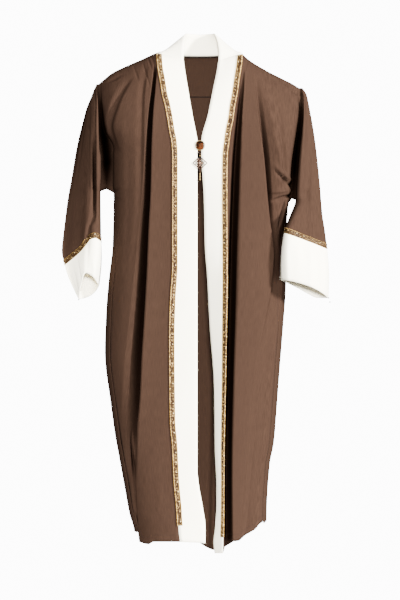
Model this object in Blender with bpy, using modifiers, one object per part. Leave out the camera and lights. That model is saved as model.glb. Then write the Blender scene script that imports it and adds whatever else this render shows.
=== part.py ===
"""A worn open-front abaya: two fronts, a back, drop sleeves, slanted cuffs, a cream front and neck
band, gold braid on the seams, and one jewelled button with a hanging pendant.

Units are metres with +Z up. The wearer faces -Y, so the wearer's right is at -X. The origin lies
between the two neck points, where the shoulders carry the cloth. Tables are in centimetres: a drop
is measured down from the neck points, an x out from the middle, a depth from the side line.
"""
from collections import namedtuple
from math import acos, asin, cos, pi, radians, sin, sqrt, tan

import bmesh
import bpy
from mathutils import Vector

CM = 0.01

# Cloth thicknesses and the seam gap, metres.
CLOTH_WALL = 0.0016
BAND_WALL = 0.0024
BRAID_WALL = 0.0014
SEAM_GAP = 0.0003
BRAID_WIDTH = 0.013
BRAID_LIFT = BAND_WALL / 2 + 2 * SEAM_GAP + BRAID_WALL / 2
CUFF_BRAID_LIFT = BRAID_LIFT + 0.0011
# Extra room where the walls turn too sharply for the plain gap: at the cuff seam, over the first rows
# of the braid and over the first rows below the arm.
CUFF_EASE = 0.0003
TOP_EASE = 0.0009
TOP_EASE_ROWS = 4
ARM_EASE = CLOTH_WALL / 2
ARM_EASE_ROWS = 2
UNDERARM_EASE = CLOTH_WALL
NECK_LIFT = CLOTH_WALL / 2 + SEAM_GAP

# Section shape: an ellipse is 2, a box is high.
BODY_POWER = 2.4
SLEEVE_POWER = 2.3

# Where the side seam runs once it is below the arm, as a share of the half width.
SIDE_SEAM_SHARE = 0.94
SIDE_SEAM_TURN = (4.0, 22.0)

# The braid's middle lies this far inside the seam, cm.
BRAID_OFFSET = 0.45

# Rows of the lofted walls, down to the underarm and on to the hem. They crowd toward the top of each
# stretch by these powers.
ROWS_TO_ARM = 11
ROWS_TO_HEM = 22
CROWDED_TO_ARM = 1.5
CROWDED_TO_HEM = 1.3

# Limits that keep neighbouring columns apart: angles round a section, and a wide fold's guided lip, cm.
LEAST_TURN = radians(0.8)
EDGE_TURN = radians(7.0)
CLOSED_TURN = EDGE_TURN * 2
LIP_LIMIT = 1.3
SETTLING_STEPS = 12
LENGTH_BELOW = 99.0
WELD = 0.00001
TIE = 0.0001
LEAST_LENGTH = 0.000001
BEND_LIMIT = radians(150.0)
RIDGE_LIMIT = 0.4

# How far below the shoulder line the chest and the back reach their full depth, cm.
CHEST_ROUNDING = 22.0
BACK_ROUNDING = 16.0

# Half neckline at the back: width, depth and drop of its middle, cm.
NECK_HALF_WIDTH = 10.6
NECK_BACK_DEPTH = 6.0
NECK_BACK_DROP = 0.6
NECK_POWER = 2.6
NECK_FULLNESS = 0.75

# Depth of the body in front of and behind the side line: (drop, depth).
FRONT_DEPTH = ((0, 10.2), (25, 10.8), (45, 10.5), (80, 10.1), (110, 9.9), (133, 10.0))
BACK_DEPTH = ((0, 8.6), (15, 9.5), (35, 9.0), (60, 9.3), (100, 9.6), (133, 9.8))

# Each side of the garment. Columns are (drop, x), but the shoulder and hem are (x, drop).
RIGHT = {
    "sign": -1,
    "arm_top": 8.6,
    "arm_low": 36.2,
    "shoulder": ((10.6, 0.0), (11.6, 0.3), (15.6, 2.1), (19.3, 3.7), (23.0, 5.5), (26.9, 8.6)),
    "reach": ((0, 26.2), (9, 26.2), (13, 25.9), (18, 25.6), (21, 25.1), (24, 23.6), (26, 22.9),
              (36, 22.9), (37, 22.75), (51, 23.0), (59, 23.9), (66, 24.6), (79, 25.1), (93, 23.5),
              (101, 22.4), (108, 21.1), (115, 19.8), (122, 18.5), (126, 17.4), (129, 17.2)),
    "armhole": ((8.6, 26.9), (10.5, 26.8), (14, 26.4), (20, 25.9), (26, 25.0), (32, 24.7), (36.2, 24.7)),
    "armhole_depth": ((8.6, 0.25), (10.5, 2.4), (14, 3.1), (20, 2.6), (26, 1.6), (32, 1.0), (36.2, 0.7)),
    "braid": ((0, 10.8), (3.7, 10.5), (8.4, 9.7), (11.6, 9.2), (14.8, 8.4), (18, 7.8), (21.1, 7.3),
                  (24.3, 6.7), (27.5, 6.5), (56, 6.5), (65.5, 7.05), (75, 7.3), (97, 7.1), (103.5, 6.55),
                  (113, 6.1), (119.3, 5.5), (125.7, 5.1), (129, 4.7)),
    "hem": ((4.5, 128.7), (12.2, 128.8), (13.5, 129.5), (15.8, 129.0), (17.0, 128.2), (17.4, 126.3)),
    "side_hem": 126.3,
}
LEFT = {
    "sign": 1,
    "arm_top": 9.6,
    "arm_low": 38.7,
    "shoulder": ((10.6, 0.0), (12.9, 2.1), (15.4, 3.7), (18.2, 5.3), (21.3, 6.9), (24.3, 8.4), (26.3, 9.6)),
    "reach": ((0, 25.6), (10, 25.7), (15, 26.0), (21, 25.5), (26, 24.8), (30, 24.3), (36, 24.0),
              (38.7, 23.8), (39.5, 23.5), (45, 22.9), (61, 22.7), (72, 22.0), (84, 21.0), (97, 20.0),
              (103, 19.5), (109, 18.4), (123, 17.6), (133, 17.6)),
    "armhole": ((9.6, 26.3), (11.5, 26.9), (15, 26.8), (21, 26.1), (27, 25.3), (33, 24.7), (38.7, 24.2)),
    "armhole_depth": ((9.6, 0.25), (11.5, 2.4), (15, 3.0), (21, 2.4), (27, 1.6), (33, 1.0), (38.7, 0.7)),
    "braid": ((0, 10.6), (3.7, 10.2), (6.9, 9.7), (11.6, 9.0), (14.8, 8.4), (18, 8.0), (21.1, 7.35),
                  (24.3, 6.9), (27.5, 6.5), (39, 6.4), (56, 6.5), (75, 6.25), (88, 6.05), (105, 5.75),
                  (125, 5.6), (132, 5.5)),
    "hem": ((5.5, 132.5), (6.6, 130.5), (7.2, 129.1), (7.7, 128.7), (9.9, 128.5), (12.1, 127.2),
            (14.4, 125.7), (16.0, 123.9), (17.6, 123.5)),
    "side_hem": 123.5,
}
# Hem of the back, across both sides: (x, drop).
BACK_HEM = ((-17.4, 126.3), (-12, 127.8), (-5, 128.6), (-1.5, 129.4), (2.2, 131.6), (4, 132.0),
            (10, 129.2), (14.5, 126.0), (17.6, 123.5))

# Folds, one row each. Every column is a table over the drop: the valley's x, its half width toward
# the middle, its half width toward the side, and its depth.
Fold = namedtuple("Fold", "x inner outer depth")
RIGHT_FOLDS = (
    Fold(((3.7, 11.6), (10, 12.1), (16.4, 12.75), (24.3, 13.2), (37, 13.6), (46.5, 14.2), (59, 14.9),
          (72, 15.8), (81, 16.5), (91, 17.0), (100, 17.7), (112, 17.9), (119, 17.8), (129, 16.6)),
         ((3, 0.45), (16, 0.6), (37, 0.8), (60, 1.1), (91, 1.4), (129, 0.9)),
         ((3, 0.5), (16, 0.65), (37, 0.85), (60, 1.1), (75, 1.5), (91, 2.2), (112, 1.4), (129, 0.6)),
         ((3, 0.0), (7, 0.9), (14, 1.6), (40, 2.6), (70, 3.2), (88, 2.9), (102, 2.0), (116, 1.4),
          (129, 0.9))),
    Fold(((3, 14.0), (13, 15.3), (39, 15.8), (66, 18.6), (92, 20.2), (129, 17.0)),
         ((3, 0.9), (50, 1.3)), ((3, 1.4), (50, 1.3)),
         ((3, 0.0), (10, 0.5), (40, 0.3), (60, 0.0))),
    Fold(((7, 18.4), (12, 21.3), (15, 22.6), (20, 24.0), (24, 23.0), (30, 21.0), (60, 22.4), (80, 24.0),
          (96, 22.0), (108, 20.3), (118, 18.8), (129, 17.1)),
         ((7, 0.9), (24, 1.0), (60, 0.8), (118, 0.7)), ((7, 1.1), (24, 0.9), (60, 0.7), (118, 0.6)),
         ((7, 0.0), (10, 0.8), (20, 1.3), (24, 0.9), (28, 0.0), (64, 0.0), (80, 0.5), (100, 0.9),
          (115, 1.1), (122, 0.0))),
)
LEFT_FOLDS = (
    Fold(((3.7, 11.3), (10, 10.9), (16.4, 10.3), (24.3, 9.7), (30.6, 9.35), (40, 9.0), (52.8, 8.6),
          (65.5, 8.3), (81, 7.9), (91, 7.7), (110, 7.4), (132, 7.4)),
         ((3, 0.4), (16, 0.7), (31, 1.0), (50, 1.1), (81, 1.0), (110, 1.0), (132, 1.1)),
         ((3, 0.5), (16, 0.8), (31, 1.2), (50, 1.3), (110, 1.1), (132, 1.3)),
         ((3, 0.0), (8, 0.9), (16, 1.8), (40, 3.0), (70, 3.2), (110, 2.8), (132, 2.4))),
    Fold(((6, 14.6), (19, 16.3), (29, 17.7), (40, 18.7), (45, 19.3), (54, 20.6), (62, 20.0), (80, 16.8),
          (132, 12.0)),
         ((6, 0.8), (29, 1.1), (40, 1.2), (60, 1.5), (90, 2.0)),
         ((6, 1.4), (29, 1.3), (45, 2.6), (60, 2.2), (90, 2.0)),
         ((6, 0.0), (12, 0.6), (28, 1.2), (42, 2.4), (54, 2.2), (64, 0.3), (95, 0.3), (128, 0.8))),
    Fold(((14, 20.4), (27, 22.0), (34, 22.6), (45, 21.9), (62, 21.2), (80, 19.6), (132, 15.6)),
         ((14, 1.0), (34, 0.9)), ((14, 1.0), (34, 0.8)),
         ((14, 0.0), (20, 0.4), (33, 0.8), (38, 0.0))),
)
# Plain soft folds of the back, the same on both sides. The second only guides a column to the
# corner of the neckline.
BACK_FOLDS = (
    Fold(((8, 4.0), (60, 4.6), (131, 3.6)), ((8, 1.4), (131, 1.6)), ((8, 1.4), (131, 1.6)),
         ((8, 0.0), (30, 0.4), (70, 1.1), (131, 1.9))),
    Fold(((0, 10.6), (40, 8.8), (131, 6.6)), ((0, 1.0), (1, 1.0)), ((0, 1.0), (1, 1.0)),
         ((0, 0.0), (1, 0.0))),
    Fold(((10, 12.8), (60, 12.2), (131, 9.6)), ((10, 1.6), (131, 1.6)), ((10, 1.6), (131, 1.6)),
         ((10, 0.0), (30, 0.6), (70, 1.4), (131, 2.2))),
    Fold(((30, 18.0), (80, 17.6), (127, 13.6)), ((30, 1.5), (127, 1.4)), ((30, 1.5), (127, 1.4)),
         ((30, 0.0), (60, 0.6), (100, 1.4), (127, 1.7))),
)
FRONT_COLUMNS = (1, 3, 3, 3, 3, 4)
BACK_COLUMNS = (2, 4, 1, 2, 4)

# Free edge of the front band on each side: (drop, x, depth).
RIGHT_BAND_EDGE = ((2.25, -4.35, 3.2), (5, -4.0, 5.0), (10, -3.2, 7.8), (17, -2.0, 10.0),
                   (23.8, -0.7, 10.7), (25, -0.55, 10.75), (28, -0.7, 10.8), (60, -0.7, 10.4),
                   (110, -0.7, 10.1), (114, -0.3, 10.1), (119, 0.6, 10.1), (125, 1.4, 10.1),
                   (129, 1.4, 10.1))
LEFT_BAND_EDGE = ((2.25, 4.9, 3.2), (5, 4.5, 5.0), (10, 3.5, 7.8), (17, 2.1, 10.0), (23.8, 0.4, 10.7),
                  (26, 0.35, 10.75), (39, 1.05, 9.2), (52, 1.35, 8.2), (59, 1.9, 7.4), (73, 2.6, 6.2),
                  (88, 3.65, 5.2), (105, 3.9, 4.7), (114, 4.35, 4.5), (119, 4.35, 4.5), (125, 4.0, 4.5),
                  (129, 3.6, 4.6), (132, 3.9, 4.6))
BAND_STEPS = 2

# The neck band from one shoulder round the back: x on the neckline, and its free edge as
# (x, drop, depth from the side line, + is behind).
NECK_STATIONS = (
    (-10.6, (-4.35, 2.25, -3.2)), (-10.5, (-4.2, -0.8, -1.7)), (-10.2, (-3.95, -3.4, 0.2)),
    (-9.4, (-3.7, -5.0, 2.2)), (-7.5, (-3.2, -5.05, 3.8)), (-4.0, (-1.8, -5.05, 5.1)),
    (0.0, (0.0, -5.0, 5.5)),
    (4.0, (1.8, -5.05, 5.1)), (7.5, (3.2, -5.05, 3.8)), (9.4, (3.75, -5.0, 2.2)),
    (10.2, (4.6, -2.8, 0.2)), (10.5, (5.0, 0.2, -1.9)), (10.6, (4.9, 2.25, -3.2)),
)
NECK_STEPS = 2
NECK_BRAID_RISE = 0.0022

# Sleeves: outer and inner edges (drop, x), half depth, forward lean at the outer and inner edge.
RIGHT_SLEEVE = {
    "outer": ((9.0, 28.2), (9.8, 28.6), (10.8, 28.9), (12.1, 29.2), (14.8, 30.2), (18, 30.9),
              (24.3, 32.3), (33.8, 33.9), (40.1, 35.0), (46.5, 35.8), (52.8, 36.4), (55.6, 35.8)),
    "inner": ((9.4, 27.3), (13, 27.0), (18, 26.7), (26, 26.4), (28, 26.1), (33, 26.1), (36.2, 26.3),
              (50, 26.1)),
    "half_depth": ((8.7, 1.2), (10.5, 2.6), (14, 4.0), (20, 4.8), (30, 4.9), (48, 4.5), (55, 4.0)),
    "lean_outer": ((8.7, 0.0), (20, -0.3), (36, -1.4), (56, -3.0)),
    "lean_inner": ((8.7, 0.0), (36.2, 0.0), (56, -2.4)),
    "folds": (
        Fold(((10.6, 27.7), (14, 27.8), (20.6, 27.9), (36, 27.8), (43, 28.0), (46.5, 29.0), (51, 29.6)),
             ((10, 0.7), (51, 0.9)), ((10, 0.8), (51, 1.1)),
             ((10, 0.0), (17, 0.0), (26, 0.6), (40, 0.8), (47, 0.6), (51, 0.2))),
        Fold(((22, 29.8), (39, 30.8), (58, 32.0)), ((22, 1.2), (58, 1.4)), ((22, 1.4), (58, 1.8)),
             ((22, 0.0), (34, 0.8), (46, 0.8), (52, 0.3), (58, 0.2))),
    ),
    "seam_outer": 55.6,
    "seam_inner": 49.6,
    "columns": (2, 2, 2, 3, 4),
}
LEFT_SLEEVE = {
    "outer": ((10.0, 28.1), (10.7, 28.4), (11.3, 28.6), (14.8, 28.9), (18, 29.5),
              (21.1, 30.0), (27.5, 30.8), (35.4, 31.6), (43, 32.2), (47, 32.8), (51, 33.3)),
    "inner": ((10.4, 27.0), (12, 27.3), (15, 27.3), (21, 26.8), (26, 26.2), (36.4, 25.4), (38.7, 25.3),
              (43, 23.8), (46.7, 22.2)),
    "half_depth": ((9.7, 1.2), (11.5, 2.6), (15, 4.0), (21, 4.8), (30, 5.2), (51, 5.2)),
    "lean_outer": ((9.7, 0.0), (20, -0.3), (36, -1.6), (51, -4.6)),
    "lean_inner": ((9.7, 0.0), (38.7, 0.0), (41, -2.6), (44, -5.4), (47, -6.8)),
    "folds": (
        Fold(((16, 28.6), (30, 28.4), (46, 27.4)), ((16, 0.9), (46, 1.6)), ((16, 0.9), (46, 1.6)),
             ((16, 0.0), (24, 0.3), (46, 0.5))),
    ),
    "seam_outer": 51.4,
    "seam_inner": 47.2,
    "columns": (2, 2, 2, 4),
}
SLEEVE_BACK_COLUMNS = 8
SLEEVE_ROWS_BELOW = 6
SLEEVE_SLANT = 2.4
HEAD_WIDTH = 1.6

# Cuff hems, one row each: share of the way round the front from the inner edge to the outer, or back
# round the back, then the hem's x, drop and depth. The seam is (x, drop) across the front.
RIGHT_CUFF = {
    "front": ((0.0, 26.6, 61.7, -2.6), (0.25, 28.2, 59.3, -6.4), (0.45, 30.0, 58.4, -6.4),
              (0.62, 31.0, 60.4, -5.8), (0.8, 31.5, 62.8, -4.8), (1.0, 31.9, 65.2, -3.2)),
    "back": ((0.0, 31.9, 65.2, -3.2), (0.3, 31.0, 65.1, -0.6), (0.6, 29.4, 64.6, 0.4),
             (0.85, 27.6, 63.2, -0.6), (1.0, 26.6, 61.7, -2.6)),
    "seam": ((26.1, 49.4), (27.4, 48.5), (28.6, 48.8), (31.2, 51.9), (35.8, 55.6)),
}
LEFT_CUFF = {
    "front": ((0.0, 21.1, 60.1, -6.9), (0.25, 23.2, 60.4, -11.0), (0.6, 28.6, 61.9, -11.2),
              (0.85, 32.4, 63.9, -8.2), (1.0, 33.6, 65.0, -5.6)),
    "back": ((0.0, 33.6, 65.0, -5.6), (0.35, 30.8, 64.9, -1.8), (0.7, 25.8, 62.4, -2.4),
             (1.0, 21.1, 60.1, -6.9)),
    "seam": ((22.2, 47.2), (33.3, 51.4)),
}
CUFF_ROWS = 5
CUFF_BULGE = 0.4

# Jewelled closure, metres. The button lies on both bands where the neckline meets.
BUTTON_DROP = 0.251
BUTTON_RADIUS = 0.0112
BUTTON_EDGE = 0.0018
BUTTON_DOME = 0.0040
BUTTON_STEPS = 24
# The button's back is this share of its width, and its side starts at this share of its edge. Its dome
# has a ring at each of these turns.
BUTTON_BACK = 0.96
BUTTON_SIDE = 0.3
DOME_TURNS = (pi / 10, pi / 5, pi * 0.3, pi * 0.4)
BUTTON_BACK_DEPTH = 0.1091
RIM_WIRE = 0.0009
LOOP_RADIUS = 0.0036
LOOP_WIRE = 0.0007
EYE_RADIUS = 0.0022
EYE_WIRE = 0.0006
JEWEL_DEPTH = 0.1118
PENDANT_BEAD = 0.0019
PENDANT_HALF_WIDTH = 0.0182
PENDANT_HALF_HEIGHT = 0.0166
PENDANT_THICKNESS = 0.0018
TIP_RADIUS = 0.0024
TIP_WIRE = 0.0006
TAIL_BEADS = (0.0018, 0.0015, 0.0020, 0.0015, 0.0022)
RING_SEGMENTS = (18, 6)
BEAD_SEGMENTS = (12, 7)

# Openwork of the pendant, as shares of its half width and half height: (x, z, half width, half height).
PENDANT_HOLES = (
    (0.0, 0.0, 0.20, 0.20), (0.0, 0.55, 0.17, 0.20), (0.0, -0.55, 0.17, 0.20),
    (-0.55, 0.0, 0.20, 0.17), (0.55, 0.0, 0.20, 0.17), (-0.28, 0.29, 0.13, 0.13),
    (0.28, 0.29, 0.13, 0.13), (-0.28, -0.29, 0.13, 0.13), (0.28, -0.29, 0.13, 0.13),
)

# Looks of the plain model: colour, roughness, metallic.
FINISHES = {
    "satin": ((0.150, 0.078, 0.055, 1.0), 0.45, 0.0),
    "crepe": ((0.930, 0.905, 0.830, 1.0), 0.80, 0.0),
    "braid": ((0.560, 0.330, 0.100, 1.0), 0.40, 0.6),
    "gold": ((0.720, 0.420, 0.200, 1.0), 0.25, 1.0),
    "resin": ((0.120, 0.045, 0.018, 1.0), 0.15, 0.0),
}


def along(table, at):
    """Read a (position, value) table on a smooth curve that never overshoots its values."""
    spots = [row[0] for row in table]
    values = [row[1] for row in table]
    if at <= spots[0]:
        return values[0]
    if at >= spots[-1]:
        return values[-1]
    last = len(spots) - 1
    secants = [(values[i + 1] - values[i]) / (spots[i + 1] - spots[i]) for i in range(last)]

    def slope(i):
        if i in (0, last):
            return secants[min(i, last - 1)]
        before, after = secants[i - 1], secants[i]
        return 0.0 if before * after <= 0.0 else 2.0 * before * after / (before + after)

    k = max(i for i in range(last) if spots[i] <= at)
    step = spots[k + 1] - spots[k]
    t = (at - spots[k]) / step
    return (values[k] * (1 + 2 * t) * (1 - t) ** 2 + values[k + 1] * t * t * (3 - 2 * t)
            + slope(k) * step * t * (1 - t) ** 2 - slope(k + 1) * step * t * t * (1 - t))


def mix(a, b, share):
    """The value a share of the way from a to b."""
    return a + (b - a) * share


def held(value, low=0.0, high=1.0):
    """The value kept between two limits."""
    return max(low, min(high, value))


def place(x, drop, depth):
    """A point from centimetres: x across, drop below the neck points, depth behind the side line."""
    return Vector((x * CM, depth * CM, -drop * CM))


def rounded(below, rounding):
    """How much of its full depth the cloth has reached this far below the shoulder line."""
    return sqrt(1.0 - (1.0 - held(below / rounding)) ** 2)


def dent(folds, x, drop):
    """How deep the folds push the cloth in at this place."""
    total = 0.0
    for fold in folds:
        centre = along(fold.x, drop)
        width = along(fold.inner if x < centre else fold.outer, drop)
        nearness = held(1.0 - abs(x - centre) / width)
        total += along(fold.depth, drop) * (0.5 - 0.5 * cos(pi * nearness))
    return total


def fold_guides(folds, drop, with_lips):
    """Places of the columns that follow the folds; the first fold also guides its two lips."""
    guides = []
    for number, fold in enumerate(folds):
        centre = along(fold.x, drop)
        if number == 0 and with_lips:
            guides.append(centre - along(fold.inner, drop))
            guides.append(centre)
            guides.append(centre + min(along(fold.outer, drop), LIP_LIMIT))
        else:
            guides.append(centre)
    return guides


def ordered(guides, counts, end):
    """Keep guides in order with room for the steps between them, and short of the end."""
    result = [guides[0]]
    for value, count in zip(guides[1:], counts):
        result.append(max(value, result[-1] + LEAST_TURN * count))
    room = end
    for k in range(len(result) - 1, 0, -1):
        room -= LEAST_TURN * counts[k]
        result[k] = min(result[k], room)
        room = result[k]
    return result


def spread(guides, counts):
    """Values between guide values, with so many steps in each gap."""
    values = [guides[0]]
    for low, high, count in zip(guides, guides[1:], counts):
        values += [mix(low, high, (k + 1) / count) for k in range(count)]
    return values


def row_shares(side):
    """Shares of the way from the shoulder line to the hem, with one row just at the underarm."""
    arm = (side["arm_low"] - side["arm_top"]) / (side["side_hem"] - side["arm_top"])
    upper = [arm * (j / ROWS_TO_ARM) ** CROWDED_TO_ARM for j in range(ROWS_TO_ARM)]
    lower = [mix(arm, 1.0, (j / ROWS_TO_HEM) ** CROWDED_TO_HEM) for j in range(ROWS_TO_HEM + 1)]
    return upper + lower


def side_angle(side, drop):
    """Where the side seam lies round the section: 90 degrees is straight out to the side."""
    start, end = SIDE_SEAM_TURN
    forward = asin(SIDE_SEAM_SHARE ** (BODY_POWER / 2))
    return mix(pi / 2, forward, held((drop - side["arm_low"] - start) / (end - start)))


def floor_depth(side, drop):
    """Depth of the armhole's edge from the side line, fading to none above and below the armhole."""
    above = held(drop - side["arm_top"] + 1.0)
    below = held(side["arm_low"] + 1.0 - drop)
    return along(side["armhole_depth"], drop) * above * below


def body_point(side, angle, forward, drop, below, start_depth, folds):
    """A point of the body's section: angle 0 is the middle of the front, 180 degrees of the back."""
    half = along(side["reach"], drop)
    across = half * abs(sin(angle)) ** (2 / BODY_POWER)
    share = abs(cos(angle)) ** (2 / BODY_POWER)
    full = along(FRONT_DEPTH if forward else BACK_DEPTH, drop)
    rise = rounded(below, CHEST_ROUNDING if forward else BACK_ROUNDING)
    edge = floor_depth(side, drop)
    depth = max(mix(start_depth, full, rise) - edge, 0.0) * share + edge
    inward = dent(folds, across, drop)
    slope_x = (across / half) ** (BODY_POWER - 1) / half
    slope_y = (depth / full) ** (BODY_POWER - 1) / full
    length = max(sqrt(slope_x ** 2 + slope_y ** 2), LEAST_LENGTH)
    across -= inward * slope_x / length
    depth -= inward * slope_y / length
    return place(side["sign"] * across, drop, -depth if forward else depth)


def panel_angles(side, guides, counts, drop, end):
    """Angles of a panel's columns from its middle out, all but its side edge."""
    half = along(side["reach"], drop)
    turned = [asin(held(x / half) ** (BODY_POWER / 2)) for x in guides]
    last = end - held(drop - side["arm_low"]) * EDGE_TURN
    return spread(ordered(turned, counts, last) + [last], counts)


def side_edge(side, drop, forward):
    """A point of a panel's outer edge: the armhole first, then the side seam."""
    depth = along(side["armhole_depth"], drop)
    arm = place(side["sign"] * along(side["armhole"], drop), drop, -depth if forward else depth)
    seam = body_point(side, side_angle(side, drop), True, drop, LENGTH_BELOW, 0.0, ())
    return arm.lerp(seam, held(drop - side["arm_low"]))


def shoulder_top(side, x):
    """Drop and depth of the front's top edge at this x."""
    return along(side["shoulder"], x), 0.0


def back_top(side, x):
    """Drop and depth of the back's top edge at this x: the neckline, then the shoulder line."""
    if x >= NECK_HALF_WIDTH:
        return shoulder_top(side, x)
    share = 1.0 - (x / NECK_HALF_WIDTH) ** NECK_POWER
    return NECK_BACK_DROP * share, NECK_BACK_DEPTH * share ** NECK_FULLNESS


def panel_rows(side, guides_at, counts, folds, forward, top_at, hem_at):
    """Rows of points of a panel from its top edge down, each from the middle to the side edge."""

    def angle_at(column, drop):
        end = side_angle(side, drop)
        end = end if forward else pi - end
        return panel_angles(side, guides_at(drop), counts, drop, end)[column]

    def x_at(column, drop):
        return along(side["reach"], drop) * abs(sin(angle_at(column, drop))) ** (2 / BODY_POWER)

    shares = row_shares(side)
    rows = [[] for _ in shares]
    for column in range(sum(counts) + 1):
        top = 0.0
        for _ in range(SETTLING_STEPS):
            top, start_depth = top_at(side, x_at(column, top))
        low = side["side_hem"]
        for _ in range(SETTLING_STEPS):
            low = hem_at(x_at(column, low))
        for row, share in zip(rows, shares):
            drop = mix(top, low, share)
            angle = angle_at(column, drop)
            turned = angle if forward else pi - angle
            ahead = forward or turned < pi / 2 - TIE
            row.append(body_point(side, turned, ahead, drop, drop - top, start_depth, folds))
    for row, share in zip(rows, shares):
        row.append(side_edge(side, mix(side["arm_top"], side["side_hem"], share), forward))
    return rows


def band_seam(side, drop):
    """The seam of front and band runs just inside the braid's outer edge."""
    return along(side["braid"], drop) + BRAID_OFFSET


def front_rows(side, folds):
    """One front panel: columns from the seam of its crepe band out to the side edge."""
    def guides_at(drop):
        return [band_seam(side, drop)] + fold_guides(folds, drop, True)

    def hem_at(x):
        return along(side["hem"], x)

    return panel_rows(side, guides_at, FRONT_COLUMNS, folds, True, shoulder_top, hem_at)


def back_rows():
    """The whole back: the right half from its side edge to the middle, then the left half out."""
    halves = []
    for side in (RIGHT, LEFT):
        def guides_at(drop):
            return [0.0] + fold_guides(BACK_FOLDS, drop, False)

        def hem_at(x, sign=side["sign"]):
            return along(BACK_HEM, sign * x)

        halves.append(panel_rows(side, guides_at, BACK_COLUMNS, BACK_FOLDS, False, back_top, hem_at))
    right, left = halves
    return [list(reversed(a))[:-1] + [(a[0] + b[0]) / 2] + b[1:] for a, b in zip(right, left)]


def sleeve_rows(side, sleeve, cuff):
    """Rows of a sleeve from its head down, each from the front of the armhole round to the back."""
    sign = side["sign"]
    shares = row_shares(side)[1:ROWS_TO_ARM + 1]
    inner_drops = [mix(side["arm_top"], side["side_hem"], share) for share in shares]
    outer_top = sleeve["outer"][0][0]
    outer_arm = side["arm_low"] - SLEEVE_SLANT
    last = len(shares) - 1
    outer_drops = [mix(outer_top, outer_arm, (j / last) ** CROWDED_TO_HEM) for j in range(last + 1)]
    rows = []
    for j in range(last + 1 + SLEEVE_ROWS_BELOW):
        low_share = held((j - last) / SLEEVE_ROWS_BELOW)
        inner_drop = mix(inner_drops[min(j, last)], sleeve["seam_inner"], low_share)
        outer_drop = mix(outer_drops[min(j, last)], sleeve["seam_outer"], low_share)
        inner_x = along(sleeve["inner"], inner_drop)
        outer_x = along(sleeve["outer"], outer_drop)
        closed = j > last
        edge = 0.0 if closed else along(side["armhole_depth"], inner_drop)

        def across_share(x):
            """Position across the sleeve: 1 is the inner edge, -1 the outer."""
            return held(1.0 - 2.0 * (x - inner_x) / (outer_x - inner_x), -1.0, 1.0)

        def turn_of(x):
            at = across_share(x)
            return acos((1 if at > 0 else -1) * abs(at) ** (SLEEVE_POWER / 2))

        def point(turn, forward):
            at = (1 if cos(turn) > 0 else -1) * abs(cos(turn)) ** (2 / SLEEVE_POWER)
            out = (1.0 - at) / 2.0
            x = mix(inner_x, outer_x, out)
            drop = mix(inner_drops[min(j, last)], outer_drops[min(j, last)], out)
            seam = along(cuff["seam"], x) if forward else mix(sleeve["seam_inner"], sleeve["seam_outer"], out)
            drop = mix(drop, seam, low_share)
            lean = mix(along(sleeve["lean_inner"], inner_drop), along(sleeve["lean_outer"], outer_drop), out)
            bulge = along(sleeve["half_depth"], drop) * abs(sin(turn)) ** (2 / SLEEVE_POWER)
            depth = bulge + edge * max(at, 0.0) ** 2
            if forward:
                depth -= dent(sleeve["folds"], x, drop)
            return place(sign * x, drop, lean - depth if forward else lean + depth)

        guides = [turn_of(x) for x in fold_guides(sleeve["folds"], mix(inner_drop, outer_drop, 0.5), True)]
        even = [pi * (k + 1) / (len(guides) + 1) for k in range(len(guides))]
        followed = held((outer_x - inner_x) / HEAD_WIDTH - 1.0)
        guides = [mix(plain, led, followed) for plain, led in zip(even, guides)]
        first = CLOSED_TURN if closed else 0.0
        turned = ordered([first] + guides, sleeve["columns"], pi)
        front = [point(turn, True) for turn in spread(turned + [pi], sleeve["columns"])]
        back_turns = [mix(pi, first, (k + 1) / SLEEVE_BACK_COLUMNS) for k in range(SLEEVE_BACK_COLUMNS)]
        back = [point(turn, False) for turn in back_turns]
        if closed:
            start = finish = point(0.0, False)
        else:
            arm_x = sign * along(side["armhole"], inner_drop)
            start = place(arm_x, inner_drop, -edge)
            finish = place(arm_x, inner_drop, edge)
        rows.append([start] + front + back + [finish])
    return rows


def shares_along(points):
    """How far along a run of points each one lies, from 0 to 1."""
    run = [0.0]
    for a, b in zip(points, points[1:]):
        run.append(run[-1] + (b - a).length)
    return [length / run[-1] for length in run]


def cuff_rows(side, sleeve, cuff, top_row):
    """Rows of a cuff from the sleeve's last row down to its slanted hem."""
    outer_column = 1 + sum(sleeve["columns"])
    hem = []
    for name, stretch in (("front", top_row[:outer_column + 1]), ("back", top_row[outer_column:])):
        table = cuff[name]
        for share in shares_along(stretch):
            x, drop, depth = (along([(row[0], row[value]) for row in table], share) for value in (1, 2, 3))
            hem.append(place(side["sign"] * x, drop, depth))
    del hem[outer_column]
    rows = []
    for j in range(CUFF_ROWS + 1):
        share = j / CUFF_ROWS
        ring = [top.lerp(low, share) for top, low in zip(top_row, hem)]
        middle = sum(ring, Vector()) / len(ring)
        swell = CUFF_BULGE * CM * sin(pi * share)
        rows.append([point + (point - middle).normalized() * swell for point in ring])
    return rows


def band_rows(side, seam_points, edge_table):
    """Rows of a front band from the shoulder down: from its seam across to its free edge."""
    first, last = edge_table[0][0], edge_table[-1][0]
    rows = []
    for seam in seam_points:
        drop = mix(first, last, seam.z / seam_points[-1].z)
        x = along([row[:2] for row in edge_table], drop)
        depth = along([(row[0], row[2]) for row in edge_table], drop)
        free = place(x, drop, -depth)
        rows.append([seam.lerp(free, k / BAND_STEPS) for k in range(BAND_STEPS + 1)])
    return rows


def neck_rows(neckline):
    """The neck band, one row for each station: from its seam on the neckline to its free edge."""
    rows = []
    for x, free in NECK_STATIONS:
        k = max(i for i in range(len(neckline) - 1) if neckline[i].x <= x * CM or i == 0)
        start, finish = neckline[k], neckline[k + 1]
        seam = start.lerp(finish, held((x * CM - start.x) / (finish.x - start.x)))
        edge = place(*free)
        rows.append([seam.lerp(edge, step / NECK_STEPS) for step in range(NECK_STEPS + 1)])
    return rows


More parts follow.
